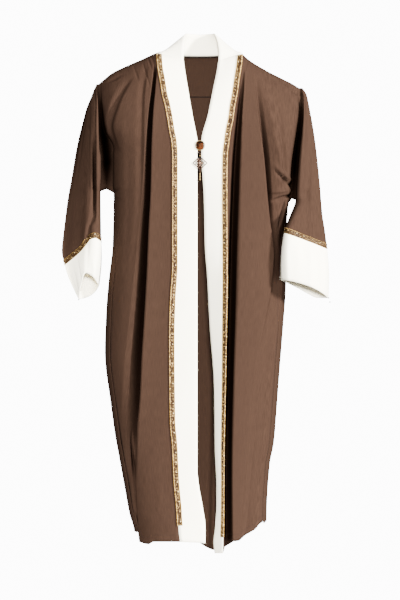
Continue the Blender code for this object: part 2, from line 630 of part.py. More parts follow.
def pull_row(rows, index, toward, amount):
    """Draw one edge row back along each column."""
    rows[index] = [a + (b - a).normalized() * amount for a, b in zip(rows[index], rows[toward])]


def apart(seam, beside_a, beside_b, wall_a, wall_b):
    """Stand two cloths' edges back from a shared seam point so that their corners clear."""
    a = (beside_a - seam).normalized()
    b = (beside_b - seam).normalized()
    bend = tan(min(pi - a.angle(b), BEND_LIMIT) / 2)
    return (seam + a * (SEAM_GAP + wall_a * bend) / 2, seam + b * (SEAM_GAP + wall_b * bend) / 2)


def part_columns(rows_a, rows_b, ends, walls):
    """Stand two cloths apart along a seam that ends every row of both."""
    walk = {0: 1, -1: -2}
    for a, b in zip(rows_a, rows_b):
        end_a, end_b = ends
        a[end_a], b[end_b] = apart(a[end_a], a[walk[end_a]], b[walk[end_b]], *walls)


def part_rows(upper, lower, walls):
    """Stand two cloths apart where the last row of one meets the first of the other."""
    for k, point in enumerate(list(upper[-1])):
        upper[-1][k], lower[0][k] = apart(point, upper[-2][k], lower[1][k], *walls)


def clear_of_shoulder(rows, forward, least_x):
    """Keep a panel's shoulder edge on its own side of the shoulder line."""
    for k, point in enumerate(rows[0]):
        if abs(point.x) < least_x:
            continue
        course = (rows[1][k] - point).normalized()
        away = (SEAM_GAP + CLOTH_WALL * sqrt(1.0 - course.y ** 2)) / 2
        rows[0][k] = point + Vector((0.0, -away if forward else away, 0.0))


def strip_rows(middle, side_a, side_b, reach_a, reach_b, lift, ring=False):
    """A strip over a seam: it reaches over both cloths and lies just off them."""
    rows = []
    last = len(middle) - 1
    for j, point in enumerate(middle):
        before = middle[max(j - 1, 0)]
        after = middle[min(j + 1, last)]
        if ring and j in (0, last):
            before, after = middle[last - 1], middle[1]
        course = (after - before).normalized()
        over_a, over_b = ((away - course * away.dot(course)).normalized()
                          for away in (side_a[j] - point, side_b[j] - point))
        out_a = over_a.cross(course).normalized()
        out_b = course.cross(over_b).normalized()
        between = (out_a + out_b).normalized()
        ridge = lift / max(between.dot(out_a), RIDGE_LIMIT)
        rows.append([point + over_a * reach_a + out_a * lift, point + between * ridge,
                     point + over_b * reach_b + out_b * lift])
    return rows


def on_cloth(rows, near, width):
    """A strip that lies on one cloth, a little way in from the first point of each row."""
    strip = []
    last = len(rows) - 1
    for j, row in enumerate(rows):
        course = (rows[min(j + 1, last)][0] - rows[max(j - 1, 0)][0]).normalized()
        over = row[-1] - row[0]
        over = (over - course * over.dot(course)).normalized()
        out = over.cross(course).normalized()
        strip.append([row[0] + out * CUFF_BRAID_LIFT + over * reach for reach in (near, near + width)])
    return strip


def material(name):
    """The plain finish with this name, made once."""
    colour, roughness, metallic = FINISHES[name]
    surface = bpy.data.materials.get(name) or bpy.data.materials.new(name)
    surface.use_nodes = True
    shader = surface.node_tree.nodes["Principled BSDF"]
    shader.inputs["Base Color"].default_value = colour
    shader.inputs["Roughness"].default_value = roughness
    shader.inputs["Metallic"].default_value = metallic
    return surface


def cloth(name, rows, wall, look, parts):
    """A wall of cloth through rows of points; columns that meet are welded."""
    shape = bmesh.new()
    grid = [[shape.verts.new(point) for point in row] for row in rows]
    for upper, lower in zip(grid, grid[1:]):
        for a, b, c, d in zip(upper, upper[1:], lower[1:], lower):
            shape.faces.new((a, b, c, d))
    bmesh.ops.remove_doubles(shape, verts=shape.verts, dist=WELD)
    mesh = bpy.data.meshes.new(name)
    shape.to_mesh(mesh)
    shape.free()
    mesh.shade_smooth()
    mesh.materials.append(material(look))
    piece = bpy.data.objects.new(name, mesh)
    parts.objects.link(piece)
    shell = piece.modifiers.new("wall", "SOLIDIFY")
    shell.thickness = wall
    shell.offset = 0.0
    return piece


def build_cloth(parts):
    """Every piece of cloth, parted along the seams before it gets its wall."""
    fronts = {"right": front_rows(RIGHT, RIGHT_FOLDS), "left": front_rows(LEFT, LEFT_FOLDS)}
    sides = {"right": RIGHT, "left": LEFT}
    sleeves = {"right": RIGHT_SLEEVE, "left": LEFT_SLEEVE}
    cuffs = {"right": RIGHT_CUFF, "left": LEFT_CUFF}
    edges = {"right": RIGHT_BAND_EDGE, "left": LEFT_BAND_EDGE}

    back = back_rows()
    neck = neck_rows([point.copy() for point in back[0]])
    clear_of_shoulder(back, False, NECK_HALF_WIDTH * CM)
    for name, side in sides.items():
        sign = side["sign"]
        rows = fronts[name]
        seam = [row[0].copy() for row in rows]
        band = band_rows(side, seam, edges[name])
        outer = BRAID_WIDTH / 2 - BRAID_OFFSET * CM
        braid = strip_rows(seam[::-sign], [row[1] for row in rows][::-sign],
                           [row[1] for row in band][::-sign], outer, BRAID_WIDTH - outer, BRAID_LIFT)
        sleeve = sleeve_rows(side, sleeves[name], cuffs[name])
        cuff = cuff_rows(side, sleeves[name], cuffs[name], [point.copy() for point in sleeve[-1]])
        trim = strip_rows(sleeve[-1][::-sign], sleeve[-2][::-sign], cuff[1][::-sign], BRAID_WIDTH / 2,
                          BRAID_WIDTH / 2, CUFF_BRAID_LIFT, True)
        part_columns(rows, band, (0, 0), (CLOTH_WALL, BAND_WALL))
        outer_end = 0 if sign < 0 else -1
        arm = slice(1, ROWS_TO_ARM + 1)
        for panel, end, sleeve_end in ((rows, -1, 0), (back, outer_end, -1)):
            part_columns(panel[arm], sleeve, (end, sleeve_end), (CLOTH_WALL, CLOTH_WALL))
        part_columns(rows[ROWS_TO_ARM + 1:], back[ROWS_TO_ARM + 1:], (-1, outer_end),
                     (CLOTH_WALL, CLOTH_WALL))
        for j in range(ROWS_TO_ARM + 1, ROWS_TO_ARM + 1 + ARM_EASE_ROWS):
            rows[j][-1].y -= ARM_EASE
            back[j][outer_end].y += ARM_EASE
        for edge in (0, -1):
            sleeve[ROWS_TO_ARM - 1][edge].x += sign * UNDERARM_EASE
        clear_of_shoulder(rows, True, 0.0)
        part_rows(sleeve, cuff, (CLOTH_WALL, BAND_WALL))
        pull_row(sleeve, -1, -2, CUFF_EASE)
        pull_row(cuff, 0, 1, CUFF_EASE)
        top_rows = braid[1:1 + TOP_EASE_ROWS] if sign < 0 else braid[-1 - TOP_EASE_ROWS:-1]
        for row in top_rows:
            for point in row:
                point.y -= TOP_EASE
        pull_row(band, 0, 1, SEAM_GAP + BAND_WALL / 2)
        cloth("front_" + name, rows, CLOTH_WALL, "satin", parts)
        cloth("band_" + name, band, BAND_WALL, "crepe", parts)
        cloth("braid_" + name, braid[1:-1], BRAID_WALL, "braid", parts)
        cloth("sleeve_" + name, sleeve, CLOTH_WALL, "satin", parts)
        cloth("cuff_" + name, cuff, BAND_WALL, "crepe", parts)
        cloth("cuff_braid_" + name, trim, BRAID_WALL, "braid", parts)
    cloth("back", back, CLOTH_WALL, "satin", parts)

    for row in neck:
        row[0] += (row[1] - row[0]).normalized() * NECK_LIFT
    pull_row(neck, 0, 1, SEAM_GAP)
    pull_row(neck, -1, -2, SEAM_GAP)
    cloth("band_neck", neck, BAND_WALL, "crepe", parts)
    cloth("braid_neck", on_cloth(neck[1:-1], NECK_BRAID_RISE, BRAID_WIDTH), BRAID_WALL, "braid", parts)


def finish(piece, name, look, parts):
    """Name a new piece, give it its material and move it to the part's collection."""
    piece.name = name
    piece.data.name = name
    piece.data.materials.append(material(look))
    for holder in list(piece.users_collection):
        holder.objects.unlink(piece)
    parts.objects.link(piece)
    return piece


def ring(name, centre, radius, wire, turn, look, parts):
    """A wire ring; its axis is -Y once it is turned a quarter about X, or X about Y."""
    bpy.ops.mesh.primitive_torus_add(location=centre, rotation=turn, major_radius=radius,
                                     minor_radius=wire, major_segments=RING_SEGMENTS[0],
                                     minor_segments=RING_SEGMENTS[1])
    return finish(bpy.context.object, name, look, parts)


def bead(name, centre, radius, look, parts):
    """A round bead."""
    bpy.ops.mesh.primitive_uv_sphere_add(location=centre, radius=radius, segments=BEAD_SEGMENTS[0],
                                         ring_count=BEAD_SEGMENTS[1])
    return finish(bpy.context.object, name, look, parts)


def button(centre, parts):
    """A domed button: half its outline turned about its axis, which points at -Y."""
    profile = [(0.0, 0.0), (BUTTON_RADIUS * BUTTON_BACK, 0.0), (BUTTON_RADIUS, BUTTON_EDGE * BUTTON_SIDE),
               (BUTTON_RADIUS, BUTTON_EDGE)]
    profile += [(BUTTON_RADIUS * cos(turn), BUTTON_EDGE + BUTTON_DOME * sin(turn)) for turn in DOME_TURNS]
    profile.append((0.0, BUTTON_EDGE + BUTTON_DOME))
    outline = bmesh.new()
    spots = [outline.verts.new((radius, 0.0, height)) for radius, height in profile]
    for a, b in zip(spots, spots[1:]):
        outline.edges.new((a, b))
    mesh = bpy.data.meshes.new("button")
    outline.to_mesh(mesh)
    outline.free()
    piece = bpy.data.objects.new("button", mesh)
    piece.location = centre
    piece.rotation_euler = (pi / 2, 0.0, 0.0)
    mesh.materials.append(material("resin"))
    parts.objects.link(piece)
    turned = piece.modifiers.new("turned", "SCREW")
    turned.steps = BUTTON_STEPS
    turned.render_steps = BUTTON_STEPS
    turned.use_merge_vertices = True
    turned.merge_threshold = WELD
    turned.use_normal_calculate = True


def pendant_frame(centre, parts):
    """The openwork diamond, a flat outline with its holes, given its thickness."""
    outline = bpy.data.curves.new("pendant_frame", "CURVE")
    outline.dimensions = "2D"
    outline.fill_mode = "BOTH"
    outline.extrude = PENDANT_THICKNESS / 2
    for x, z, half_width, half_height in ((0.0, 0.0, 1.0, 1.0),) + PENDANT_HOLES:
        spline = outline.splines.new("POLY")
        spline.points.add(3)
        corners = ((x + half_width, z), (x, z + half_height), (x - half_width, z), (x, z - half_height))
        for point, (across, up) in zip(spline.points, corners):
            point.co = (across * PENDANT_HALF_WIDTH, up * PENDANT_HALF_HEIGHT, 0.0, 1.0)
        spline.use_cyclic_u = True
    piece = bpy.data.objects.new("pendant_frame", outline)
    outline.materials.append(material("gold"))
    piece.location = centre
    piece.rotation_euler = (pi / 2, 0.0, 0.0)
    parts.objects.link(piece)


def build_jewel(parts):
    """The button with its rim and loop, then all that hangs from the loop, from the top down."""
    facing = (pi / 2, 0.0, 0.0)
    edge_on = (0.0, pi / 2, 0.0)
    seat = Vector((0.0, -BUTTON_BACK_DEPTH, -BUTTON_DROP))
    button(seat, parts)
    rim_radius = BUTTON_RADIUS + SEAM_GAP + RIM_WIRE
    ring("button_rim", seat - Vector((0.0, BUTTON_EDGE, 0.0)), rim_radius, RIM_WIRE, facing, "gold", parts)

    def hung(below):
        return Vector((0.0, -JEWEL_DEPTH, -BUTTON_DROP - below))

    level = rim_radius + RIM_WIRE + SEAM_GAP + LOOP_WIRE + LOOP_RADIUS
    ring("loop", hung(level), LOOP_RADIUS, LOOP_WIRE, facing, "gold", parts)
    level += LOOP_RADIUS + EYE_RADIUS - EYE_WIRE - LOOP_WIRE - SEAM_GAP
    ring("pendant_eye", hung(level), EYE_RADIUS, EYE_WIRE, edge_on, "gold", parts)
    level += EYE_RADIUS + EYE_WIRE + SEAM_GAP + PENDANT_BEAD
    bead("pendant_bead", hung(level), PENDANT_BEAD, "gold", parts)
    level += PENDANT_BEAD + SEAM_GAP + PENDANT_HALF_HEIGHT
    pendant_frame(hung(level), parts)
    level += PENDANT_HALF_HEIGHT + SEAM_GAP + TIP_WIRE + TIP_RADIUS
    ring("pendant_tip", hung(level), TIP_RADIUS, TIP_WIRE, facing, "gold", parts)
    level += TIP_RADIUS + EYE_RADIUS - EYE_WIRE - TIP_WIRE - SEAM_GAP
    ring("tail_eye", hung(level), EYE_RADIUS, EYE_WIRE, edge_on, "gold", parts)
    level += EYE_RADIUS + EYE_WIRE
    for number, radius in enumerate(TAIL_BEADS):
        level += SEAM_GAP + radius
        bead(f"tail_bead_{number + 1}", hung(level), radius, "gold", parts)
        level += radius


def main():
    """Clear the file, then build the cloth and the button with its pendant."""
    for thing in list(bpy.data.objects):
        bpy.data.objects.remove(thing)
    parts = bpy.data.collections.new("abaya")
    bpy.context.scene.collection.children.link(parts)
    build_cloth(parts)
    build_jewel(parts)


main()
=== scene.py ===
"""Looks of a filled-out, open-front abaya: brown satin body and sleeves, cream crepe bands and
cuffs, gold sequin braid on the seams, and a domed button with a hanging openwork pendant.

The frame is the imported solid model, in metres with +Z up; the wearer faces -Y and their right is
at -X. Cloth tables are in centimetres: a drop is measured down from the neck points, an x out from
the middle, a depth from the side line.
"""
from collections import namedtuple
from math import acos, asin, cos, pi, radians, sin, sqrt

import bmesh
import bpy
from bpy.props import FloatProperty, FloatVectorProperty, PointerProperty
from bpy.types import Operator, Panel, PropertyGroup
from mathutils import Matrix, Vector, noise


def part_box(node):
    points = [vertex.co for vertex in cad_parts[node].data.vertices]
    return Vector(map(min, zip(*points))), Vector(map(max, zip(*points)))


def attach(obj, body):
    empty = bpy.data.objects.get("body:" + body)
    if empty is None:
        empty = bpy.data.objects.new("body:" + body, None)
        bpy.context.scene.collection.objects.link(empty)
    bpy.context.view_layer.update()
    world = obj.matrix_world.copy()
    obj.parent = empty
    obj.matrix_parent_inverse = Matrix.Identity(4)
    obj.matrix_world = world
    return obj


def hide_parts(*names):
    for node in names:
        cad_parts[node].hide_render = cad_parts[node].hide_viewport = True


bl_info = {
    "name": "Open-front abaya",
    "version": (1, 0, 0),
    "blender": (4, 5, 0),
    "location": "View3D > Sidebar > Abaya",
    "description": "Dresses the abaya's frame in satin, crepe, sequin braid and its jewelled closure",
    "category": "Object",
}

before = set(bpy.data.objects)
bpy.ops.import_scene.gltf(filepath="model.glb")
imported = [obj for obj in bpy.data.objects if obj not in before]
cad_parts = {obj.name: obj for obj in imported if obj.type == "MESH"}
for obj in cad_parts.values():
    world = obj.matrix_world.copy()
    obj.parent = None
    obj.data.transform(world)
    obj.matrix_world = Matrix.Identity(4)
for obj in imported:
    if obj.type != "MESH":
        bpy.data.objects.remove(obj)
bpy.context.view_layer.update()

CM = 0.01

# Walls of a folded band and of the braid in the solids, the gap at a seam, the braid's width, and how
# far a puffed band stands out, metres.
BAND_WALL = 0.0024
BRAID_WALL = 0.0014
SEAM_GAP = 0.0003
BRAID_WIDTH = 0.013
BAND_PUFF = 0.0011
NECK_BRAID_LIFT = BAND_WALL / 2 + 2 * SEAM_GAP + BRAID_WALL / 2 + BAND_PUFF
# The neckline's satin runs up into the folded band by this much.
NECK_LAP = 0.003

# Section shape: an ellipse is 2, a box is high.
BODY_POWER = 2.8
SLEEVE_POWER = 4.4

# Below the arm the side seam lies at this share of the half width. It turns there between these two
# distances below the arm, cm.
SIDE_SEAM_SHARE = 0.94
SIDE_SEAM_TURN = (4.0, 22.0)

# The braid's middle lies this far inside the seam, cm.
BRAID_OFFSET = 0.45

# Below 1 the soft wall of a fold has a flatter floor, and its crisp wall a sharper lip. A fold with a
# crisp wall is this much deeper than the plain form's. Its steep part is this many half widths wide,
# and its proud lip fades over the last, cm.
FOLD_SQUARENESS = 0.8
FOLD_CRISPNESS = 0.6
FOLD_DEEPER = 1.45
FOLD_SLOT = 1.35
FOLD_REACH = 5.5

# Rows of the lofted walls, down to the underarm and on to the hem. Powers above 1 crowd them toward
# the top of each stretch.
ROWS_TO_ARM = 72
ROWS_TO_HEM = 150
UPPER_CROWDING = 1.5
LOWER_CROWDING = 1.3

# Limits that keep neighbouring columns apart: angles round a section, and a wide fold's guided lip, cm.
LEAST_TURN = radians(0.8) / 5
EDGE_TURN = radians(2.5)
SLEEVE_EDGE_TURN = EDGE_TURN * 2
LIP_LIMIT = 1.3
# A column's ends settle on their edges in this many steps. So far below the shoulder, cm, the cloth
# surely has its full depth.
SETTLING_STEPS = 12
LENGTH_BELOW = 99.0
# Points nearer than the first, metres, are one. An angle nearer than the second to the side is on it.
WELD = 0.00001
TIE = 0.0001
# Guards against dividing by nothing.
LEAST_SLOPE = 1e-6
LEAST_SPAN = 1e-9
LEAST_CROSS = 1e-12
LEAST_SIDE = 0.1

# How far below the shoulder line the chest and the back reach their full depth, cm.
CHEST_ROUNDING = 22.0
BACK_ROUNDING = 16.0

# The armhole's edge comes forward over the first of these, above its top, and goes back over the
# second, which ends at the third below the arm, cm.
ARMHOLE_RISE = 1.0
ARMHOLE_FADE = 8.0
ARMHOLE_FADE_END = 5.0

# Half neckline at the back: width, depth and drop of its middle, cm.
NECK_HALF_WIDTH = 10.6
NECK_BACK_DEPTH = 6.0
NECK_BACK_DROP = 0.6
NECK_POWER = 2.6
NECK_FULLNESS = 0.75

# Depth of the body in front of and behind the side line: (drop, depth).
FRONT_DEPTH = ((0, 10.2), (25, 10.8), (45, 10.5), (80, 10.1), (110, 9.9), (133, 10.0))
BACK_DEPTH = ((0, 8.6), (15, 9.5), (35, 9.0), (60, 9.3), (100, 9.6), (133, 9.8))

# Each side of the garment. Columns are (drop, x), but the shoulder and hem are (x, drop).
RIGHT = {
    "sign": -1,
    "arm_top": 8.6,
    "arm_low": 36.2,
    "shoulder": ((10.6, 0.0), (11.6, 0.3), (15.6, 2.1), (19.3, 3.7), (23.0, 5.5), (26.9, 8.6)),
    "reach": ((0, 26.2), (9, 26.2), (13, 25.9), (18, 25.6), (21, 25.1), (24, 23.6), (26, 22.9),
              (36, 22.9), (37, 22.75), (51, 23.0), (59, 23.9), (66, 24.6), (79, 25.1), (93, 23.5),
              (101, 22.4), (108, 21.1), (115, 19.8), (122, 18.5), (126, 17.4), (129, 17.2)),
    "armhole": ((8.6, 26.9), (10.5, 26.8), (14, 26.4), (20, 25.9), (26, 25.0), (32, 24.7), (36.2, 24.7)),
    "armhole_depth": ((8.6, 0.25), (10.5, 1.0), (14, 2.2), (20, 2.4), (26, 1.6), (32, 1.0), (36.2, 0.7)),
    "braid": ((0, 10.8), (3.7, 10.5), (8.4, 9.7), (11.6, 9.2), (14.8, 8.4), (18, 7.8), (21.1, 7.3),
                  (24.3, 6.7), (27.5, 6.5), (56, 6.5), (65.5, 7.05), (75, 7.3), (97, 7.1), (103.5, 6.55),
                  (113, 6.1), (119.3, 5.5), (125.7, 5.1), (129, 4.7)),
    "hem": ((4.5, 128.7), (12.2, 128.8), (13.5, 129.5), (15.8, 129.0), (17.0, 128.2), (17.4, 126.3)),
    "side_hem": 126.3,
    "columns": (14, 14, 14, 16, 22, 20),
}
LEFT = {
    "sign": 1,
    "arm_top": 9.6,
    "arm_low": 38.7,
    "shoulder": ((10.6, 0.0), (12.9, 2.1), (15.4, 3.7), (18.2, 5.3), (21.3, 6.9), (24.3, 8.4), (26.3, 9.6)),
    "reach": ((0, 25.6), (10, 25.7), (15, 26.0), (21, 25.5), (26, 24.8), (30, 24.3), (36, 24.0),
              (38.7, 23.8), (39.5, 23.5), (45, 22.9), (61, 22.7), (72, 22.0), (84, 21.0), (97, 20.0),
              (103, 19.5), (109, 18.4), (123, 17.6), (133, 17.6)),
    "armhole": ((9.6, 26.3), (11.5, 26.9), (15, 26.8), (21, 26.1), (27, 25.3), (33, 24.7), (38.7, 24.2)),
    "armhole_depth": ((9.6, 0.25), (11.5, 1.0), (15, 2.0), (21, 2.3), (27, 1.6), (33, 1.0), (38.7, 0.7)),
    "braid": ((0, 10.6), (3.7, 10.2), (6.9, 9.7), (11.6, 9.0), (14.8, 8.4), (18, 8.0), (21.1, 7.35),
                  (24.3, 6.9), (27.5, 6.5), (39, 6.4), (56, 6.5), (75, 6.25), (88, 6.05), (105, 5.75),
                  (125, 5.6), (132, 5.5)),
    "hem": ((5.5, 132.5), (6.6, 130.5), (7.2, 129.1), (7.7, 128.7), (9.9, 128.5), (12.1, 127.2),
            (14.4, 125.7), (16.0, 123.9), (17.6, 123.5)),
    "side_hem": 123.5,
    "columns": (10, 12, 12, 16, 10, 14, 14, 20),
}
# Hem of the back, across both sides: (x, drop).
BACK_HEM = ((-17.4, 126.3), (-12, 127.8), (-5, 128.6), (-1.5, 129.4), (2.2, 131.6), (4, 132.0),
            (10, 129.2), (14.5, 126.0), (17.6, 123.5))

# Folds, one row each. Every column is a table over the drop: the valley's x, its half width toward
# the middle, its half width toward the side, and its depth. The next column names the crisp wall: 1 is
# the one toward the side, -1 toward the middle, 0 neither. The last two are shares of the depth: how
# far that wall's lip stands proud of the cloth, and how much of the other wall is a gentle ramp.
Fold = namedtuple("Fold", "x inner outer depth crisp proud ramp", defaults=(0, 0.0, 0.3))
RIGHT_FOLDS = (
    Fold(((3.7, 11.6), (10, 12.1), (16.4, 12.75), (24.3, 13.2), (37, 13.6), (46.5, 14.2), (59, 14.9),
          (72, 15.8), (81, 16.5), (91, 17.0), (100, 17.7), (112, 17.9), (119, 17.8), (129, 16.6)),
         ((3, 0.45), (16, 0.6), (37, 0.8), (60, 1.1), (91, 1.4), (129, 0.9)),
         ((3, 0.6), (16, 0.9), (37, 1.6), (60, 2.4), (75, 3.0), (91, 3.4), (112, 1.8), (122, 0.9),
          (129, 0.6)),
         ((3, 0.0), (7, 1.2), (14, 2.2), (40, 3.2), (70, 3.5), (88, 3.2), (98, 2.4), (106, 1.2),
          (112, 0.3), (118, 0.0), (129, 0.0)), -1, 0.2, 0.16),
    Fold(((3, 14.0), (13, 15.3), (39, 15.8), (66, 18.6), (92, 20.2), (129, 17.0)),
         ((3, 0.9), (50, 1.3)), ((3, 1.4), (50, 1.3)),
         ((3, 0.0), (10, 0.4), (40, 0.2), (60, 0.0))),
    Fold(((7, 18.4), (12, 21.3), (15, 22.6), (20, 24.0), (24, 23.0), (30, 21.0), (60, 22.4), (80, 24.0),
          (96, 22.0), (108, 20.3), (118, 18.8), (129, 17.1)),
         ((7, 1.3), (24, 1.6), (60, 0.8), (118, 0.7)), ((7, 1.5), (24, 1.4), (60, 0.7), (118, 0.6)),
         ((7, 0.0), (10, 0.6), (20, 0.9), (24, 0.6), (28, 0.0), (64, 0.0), (80, 0.5), (100, 0.9),
          (115, 1.1), (122, 0.0))),
)
LEFT_FOLDS = (
    Fold(((3.7, 11.3), (10, 10.9), (16.4, 10.3), (24.3, 9.7), (30.6, 9.35), (40, 9.0), (52.8, 8.6),
          (65.5, 8.3), (81, 7.9), (91, 7.7), (110, 7.4), (132, 7.4)),
         ((3, 0.4), (16, 0.7), (31, 1.0), (50, 1.1), (81, 1.0), (110, 1.0), (132, 1.1)),
         ((3, 0.5), (16, 0.8), (31, 1.2), (50, 1.3), (110, 1.1), (132, 1.3)),
         ((3, 0.0), (8, 0.5), (16, 1.3), (27, 2.4), (40, 3.2), (70, 3.6), (110, 3.2), (132, 2.6)), 1),
    Fold(((6, 14.6), (19, 16.3), (29, 17.7), (40, 18.7), (45, 19.3), (54, 20.6), (62, 20.0), (80, 16.8),
          (132, 12.0)),
         ((6, 0.6), (29, 0.9), (40, 1.0), (60, 1.3), (90, 2.0)),
         ((6, 1.8), (19, 2.6), (29, 3.4), (45, 4.0), (60, 3.0), (90, 2.0)),
         ((6, 0.0), (12, 0.7), (20, 1.3), (28, 1.9), (42, 2.6), (54, 2.3), (64, 0.8), (80, 0.4),
          (128, 0.7)), -1, 0.1, 0.75),
    Fold(((14, 20.4), (27, 22.0), (34, 22.6), (45, 21.9), (62, 21.2), (80, 19.6), (132, 15.6)),
         ((14, 1.0), (34, 0.9)), ((14, 1.0), (34, 0.8)),
         ((14, 0.0), (20, 0.4), (33, 0.8), (38, 0.0))),
)
# Plain soft folds of the back, the same on both sides. The second only guides a column to the
# corner of the neckline.
BACK_FOLDS = (
    Fold(((8, 4.0), (60, 4.6), (131, 3.6)), ((8, 1.4), (131, 1.6)), ((8, 1.4), (131, 1.6)),
         ((8, 0.0), (30, 0.4), (70, 1.1), (131, 1.9))),
    Fold(((0, 10.6), (40, 8.8), (131, 6.6)), ((0, 1.0), (1, 1.0)), ((0, 1.0), (1, 1.0)),
         ((0, 0.0), (1, 0.0))),
    Fold(((10, 12.8), (60, 12.2), (131, 9.6)), ((10, 1.6), (131, 1.6)), ((10, 1.6), (131, 1.6)),
         ((10, 0.0), (30, 0.6), (70, 1.4), (131, 2.2))),
    Fold(((30, 18.0), (80, 17.6), (127, 13.6)), ((30, 1.5), (127, 1.4)), ((30, 1.5), (127, 1.4)),
         ((30, 0.0), (60, 0.6), (100, 1.4), (127, 1.7))),
)
BACK_COLUMNS = (8, 12, 4, 8, 14)

# Free edge of the front band on each side: (drop, x, depth).
RIGHT_BAND_EDGE = ((2.25, -4.35, 3.2), (5, -4.0, 5.0), (10, -3.2, 7.8), (17, -2.0, 10.0),
                   (23.8, -0.7, 10.7), (25, -0.55, 10.75), (28, -0.7, 10.8), (60, -0.7, 10.4),
                   (110, -0.7, 10.1), (114, -0.3, 10.1), (119, 0.6, 10.1), (125, 1.4, 10.1),
                   (129, 1.4, 10.1))
LEFT_BAND_EDGE = ((2.25, 4.9, 3.2), (5, 4.5, 5.0), (10, 3.5, 7.8), (17, 2.1, 10.0), (23.8, 0.4, 10.7),
                  (26, 0.35, 10.75), (39, 1.05, 9.2), (52, 1.35, 8.2), (59, 1.9, 7.4), (73, 2.6, 6.2),
                  (88, 3.65, 5.2), (105, 3.9, 4.7), (114, 4.35, 4.5), (119, 4.35, 4.5), (125, 4.0, 4.5),
                  (129, 3.6, 4.6), (132, 3.9, 4.6))
BAND_STEPS = 8

# The neck band from one shoulder round the back: x on the neckline, and its free edge as
# (x, drop, depth from the side line, + is behind).
NECK_STATIONS = (
    (-10.6, (-4.35, 2.25, -3.2)), (-10.5, (-4.2, -0.8, -1.7)), (-10.2, (-3.95, -3.4, 0.2)),
    (-9.4, (-3.7, -5.0, 2.2)), (-7.5, (-3.2, -5.05, 3.8)), (-4.0, (-1.8, -5.05, 5.1)),
    (0.0, (0.0, -5.0, 5.5)),
    (4.0, (1.8, -5.05, 5.1)), (7.5, (3.2, -5.05, 3.8)), (9.4, (3.75, -5.0, 2.2)),
    (10.2, (4.6, -2.8, 0.2)), (10.5, (5.0, 0.2, -1.9)), (10.6, (4.9, 2.25, -3.2)),
)
NECK_STEPS = 8
NECK_BRAID_RISE = 0.0022

# Sleeves: outer and inner edges (drop, x), half depth, forward lean at the outer and inner edge. The
# front falls away toward the outer edge by the tilt, a share of its depth, and by this power.
SLEEVE_TILT_CURVE = 1.4
RIGHT_SLEEVE = {
    "outer": ((9.0, 27.5), (9.8, 27.9), (10.8, 28.3), (12.1, 28.8), (14.8, 29.9), (18, 30.8),
              (24.3, 32.3), (33.8, 33.9), (40.1, 35.0), (46.5, 35.8), (52.8, 36.4), (55.6, 35.8)),
    "inner": ((9.4, 27.3), (13, 27.0), (18, 26.7), (26, 26.4), (28, 26.1), (33, 26.1), (36.2, 26.3),
              (50, 26.1)),
    "half_depth": ((8.7, 0.6), (10.5, 1.2), (14, 2.8), (20, 5.0), (30, 5.6), (48, 5.2), (55, 4.4)),
    "tilt": 1.25,
    "lean_outer": ((8.7, 0.0), (20, -0.3), (36, -1.4), (56, -3.0)),
    "lean_inner": ((8.7, 0.0), (36.2, 0.0), (56, -2.4)),
    "folds": (
        Fold(((10.6, 27.7), (14, 27.8), (20.6, 27.9), (36, 27.8), (43, 28.0), (46.5, 29.0), (51, 29.6)),
             ((10, 0.7), (51, 0.9)), ((10, 0.8), (51, 1.1)),
             ((10, 0.0), (17, 0.0), (26, 0.6), (40, 0.8), (47, 0.6), (51, 0.2))),
        Fold(((22, 29.8), (39, 30.8), (58, 32.0)), ((22, 1.2), (58, 1.4)), ((22, 1.4), (58, 1.8)),
             ((22, 0.0), (34, 0.3), (46, 0.3), (52, 0.2), (58, 0.1))),
    ),
    "seam_outer": 55.6,
    "seam_inner": 49.6,
    "columns": (10, 12, 12, 16, 18),
}
LEFT_SLEEVE = {
    "outer": ((10.5, 27.7), (11.1, 28.1), (12.0, 28.35), (14.8, 28.9), (18, 29.5),
              (21.1, 30.0), (27.5, 30.8), (35.4, 31.6), (43, 32.2), (47, 32.8), (51, 33.3)),
    "inner": ((10.4, 27.0), (12, 27.3), (15, 27.3), (21, 26.8), (26, 26.2), (36.4, 25.4), (38.7, 25.3),
              (43, 23.8), (46.7, 22.2)),
    "half_depth": ((9.7, 0.6), (11.5, 1.1), (15, 2.2), (21, 4.2), (30, 5.2), (51, 5.2)),
    "tilt": 0.75,
    "lean_outer": ((9.7, 0.0), (20, -0.3), (36, -1.6), (51, -4.6)),
    "lean_inner": ((9.7, 0.0), (38.7, 0.0), (41, -2.6), (44, -5.4), (47, -6.8)),
    "folds": (
        Fold(((16, 28.6), (30, 28.4), (46, 27.4)), ((16, 0.9), (46, 1.6)), ((16, 0.9), (46, 1.6)),
             ((16, 0.0), (24, 0.3), (46, 0.5))),
    ),
    "seam_outer": 51.4,
    "seam_inner": 47.2,
    "columns": (10, 12, 14, 22),
}
SLEEVE_BACK_COLUMNS = 24
SLEEVE_ROWS_BELOW = 24
# How much higher its outer edge is where the inner one reaches the underarm, and the width of its
# head over which the folds come in, cm.
SLEEVE_SLANT = 2.4
HEAD_WIDTH = 1.6

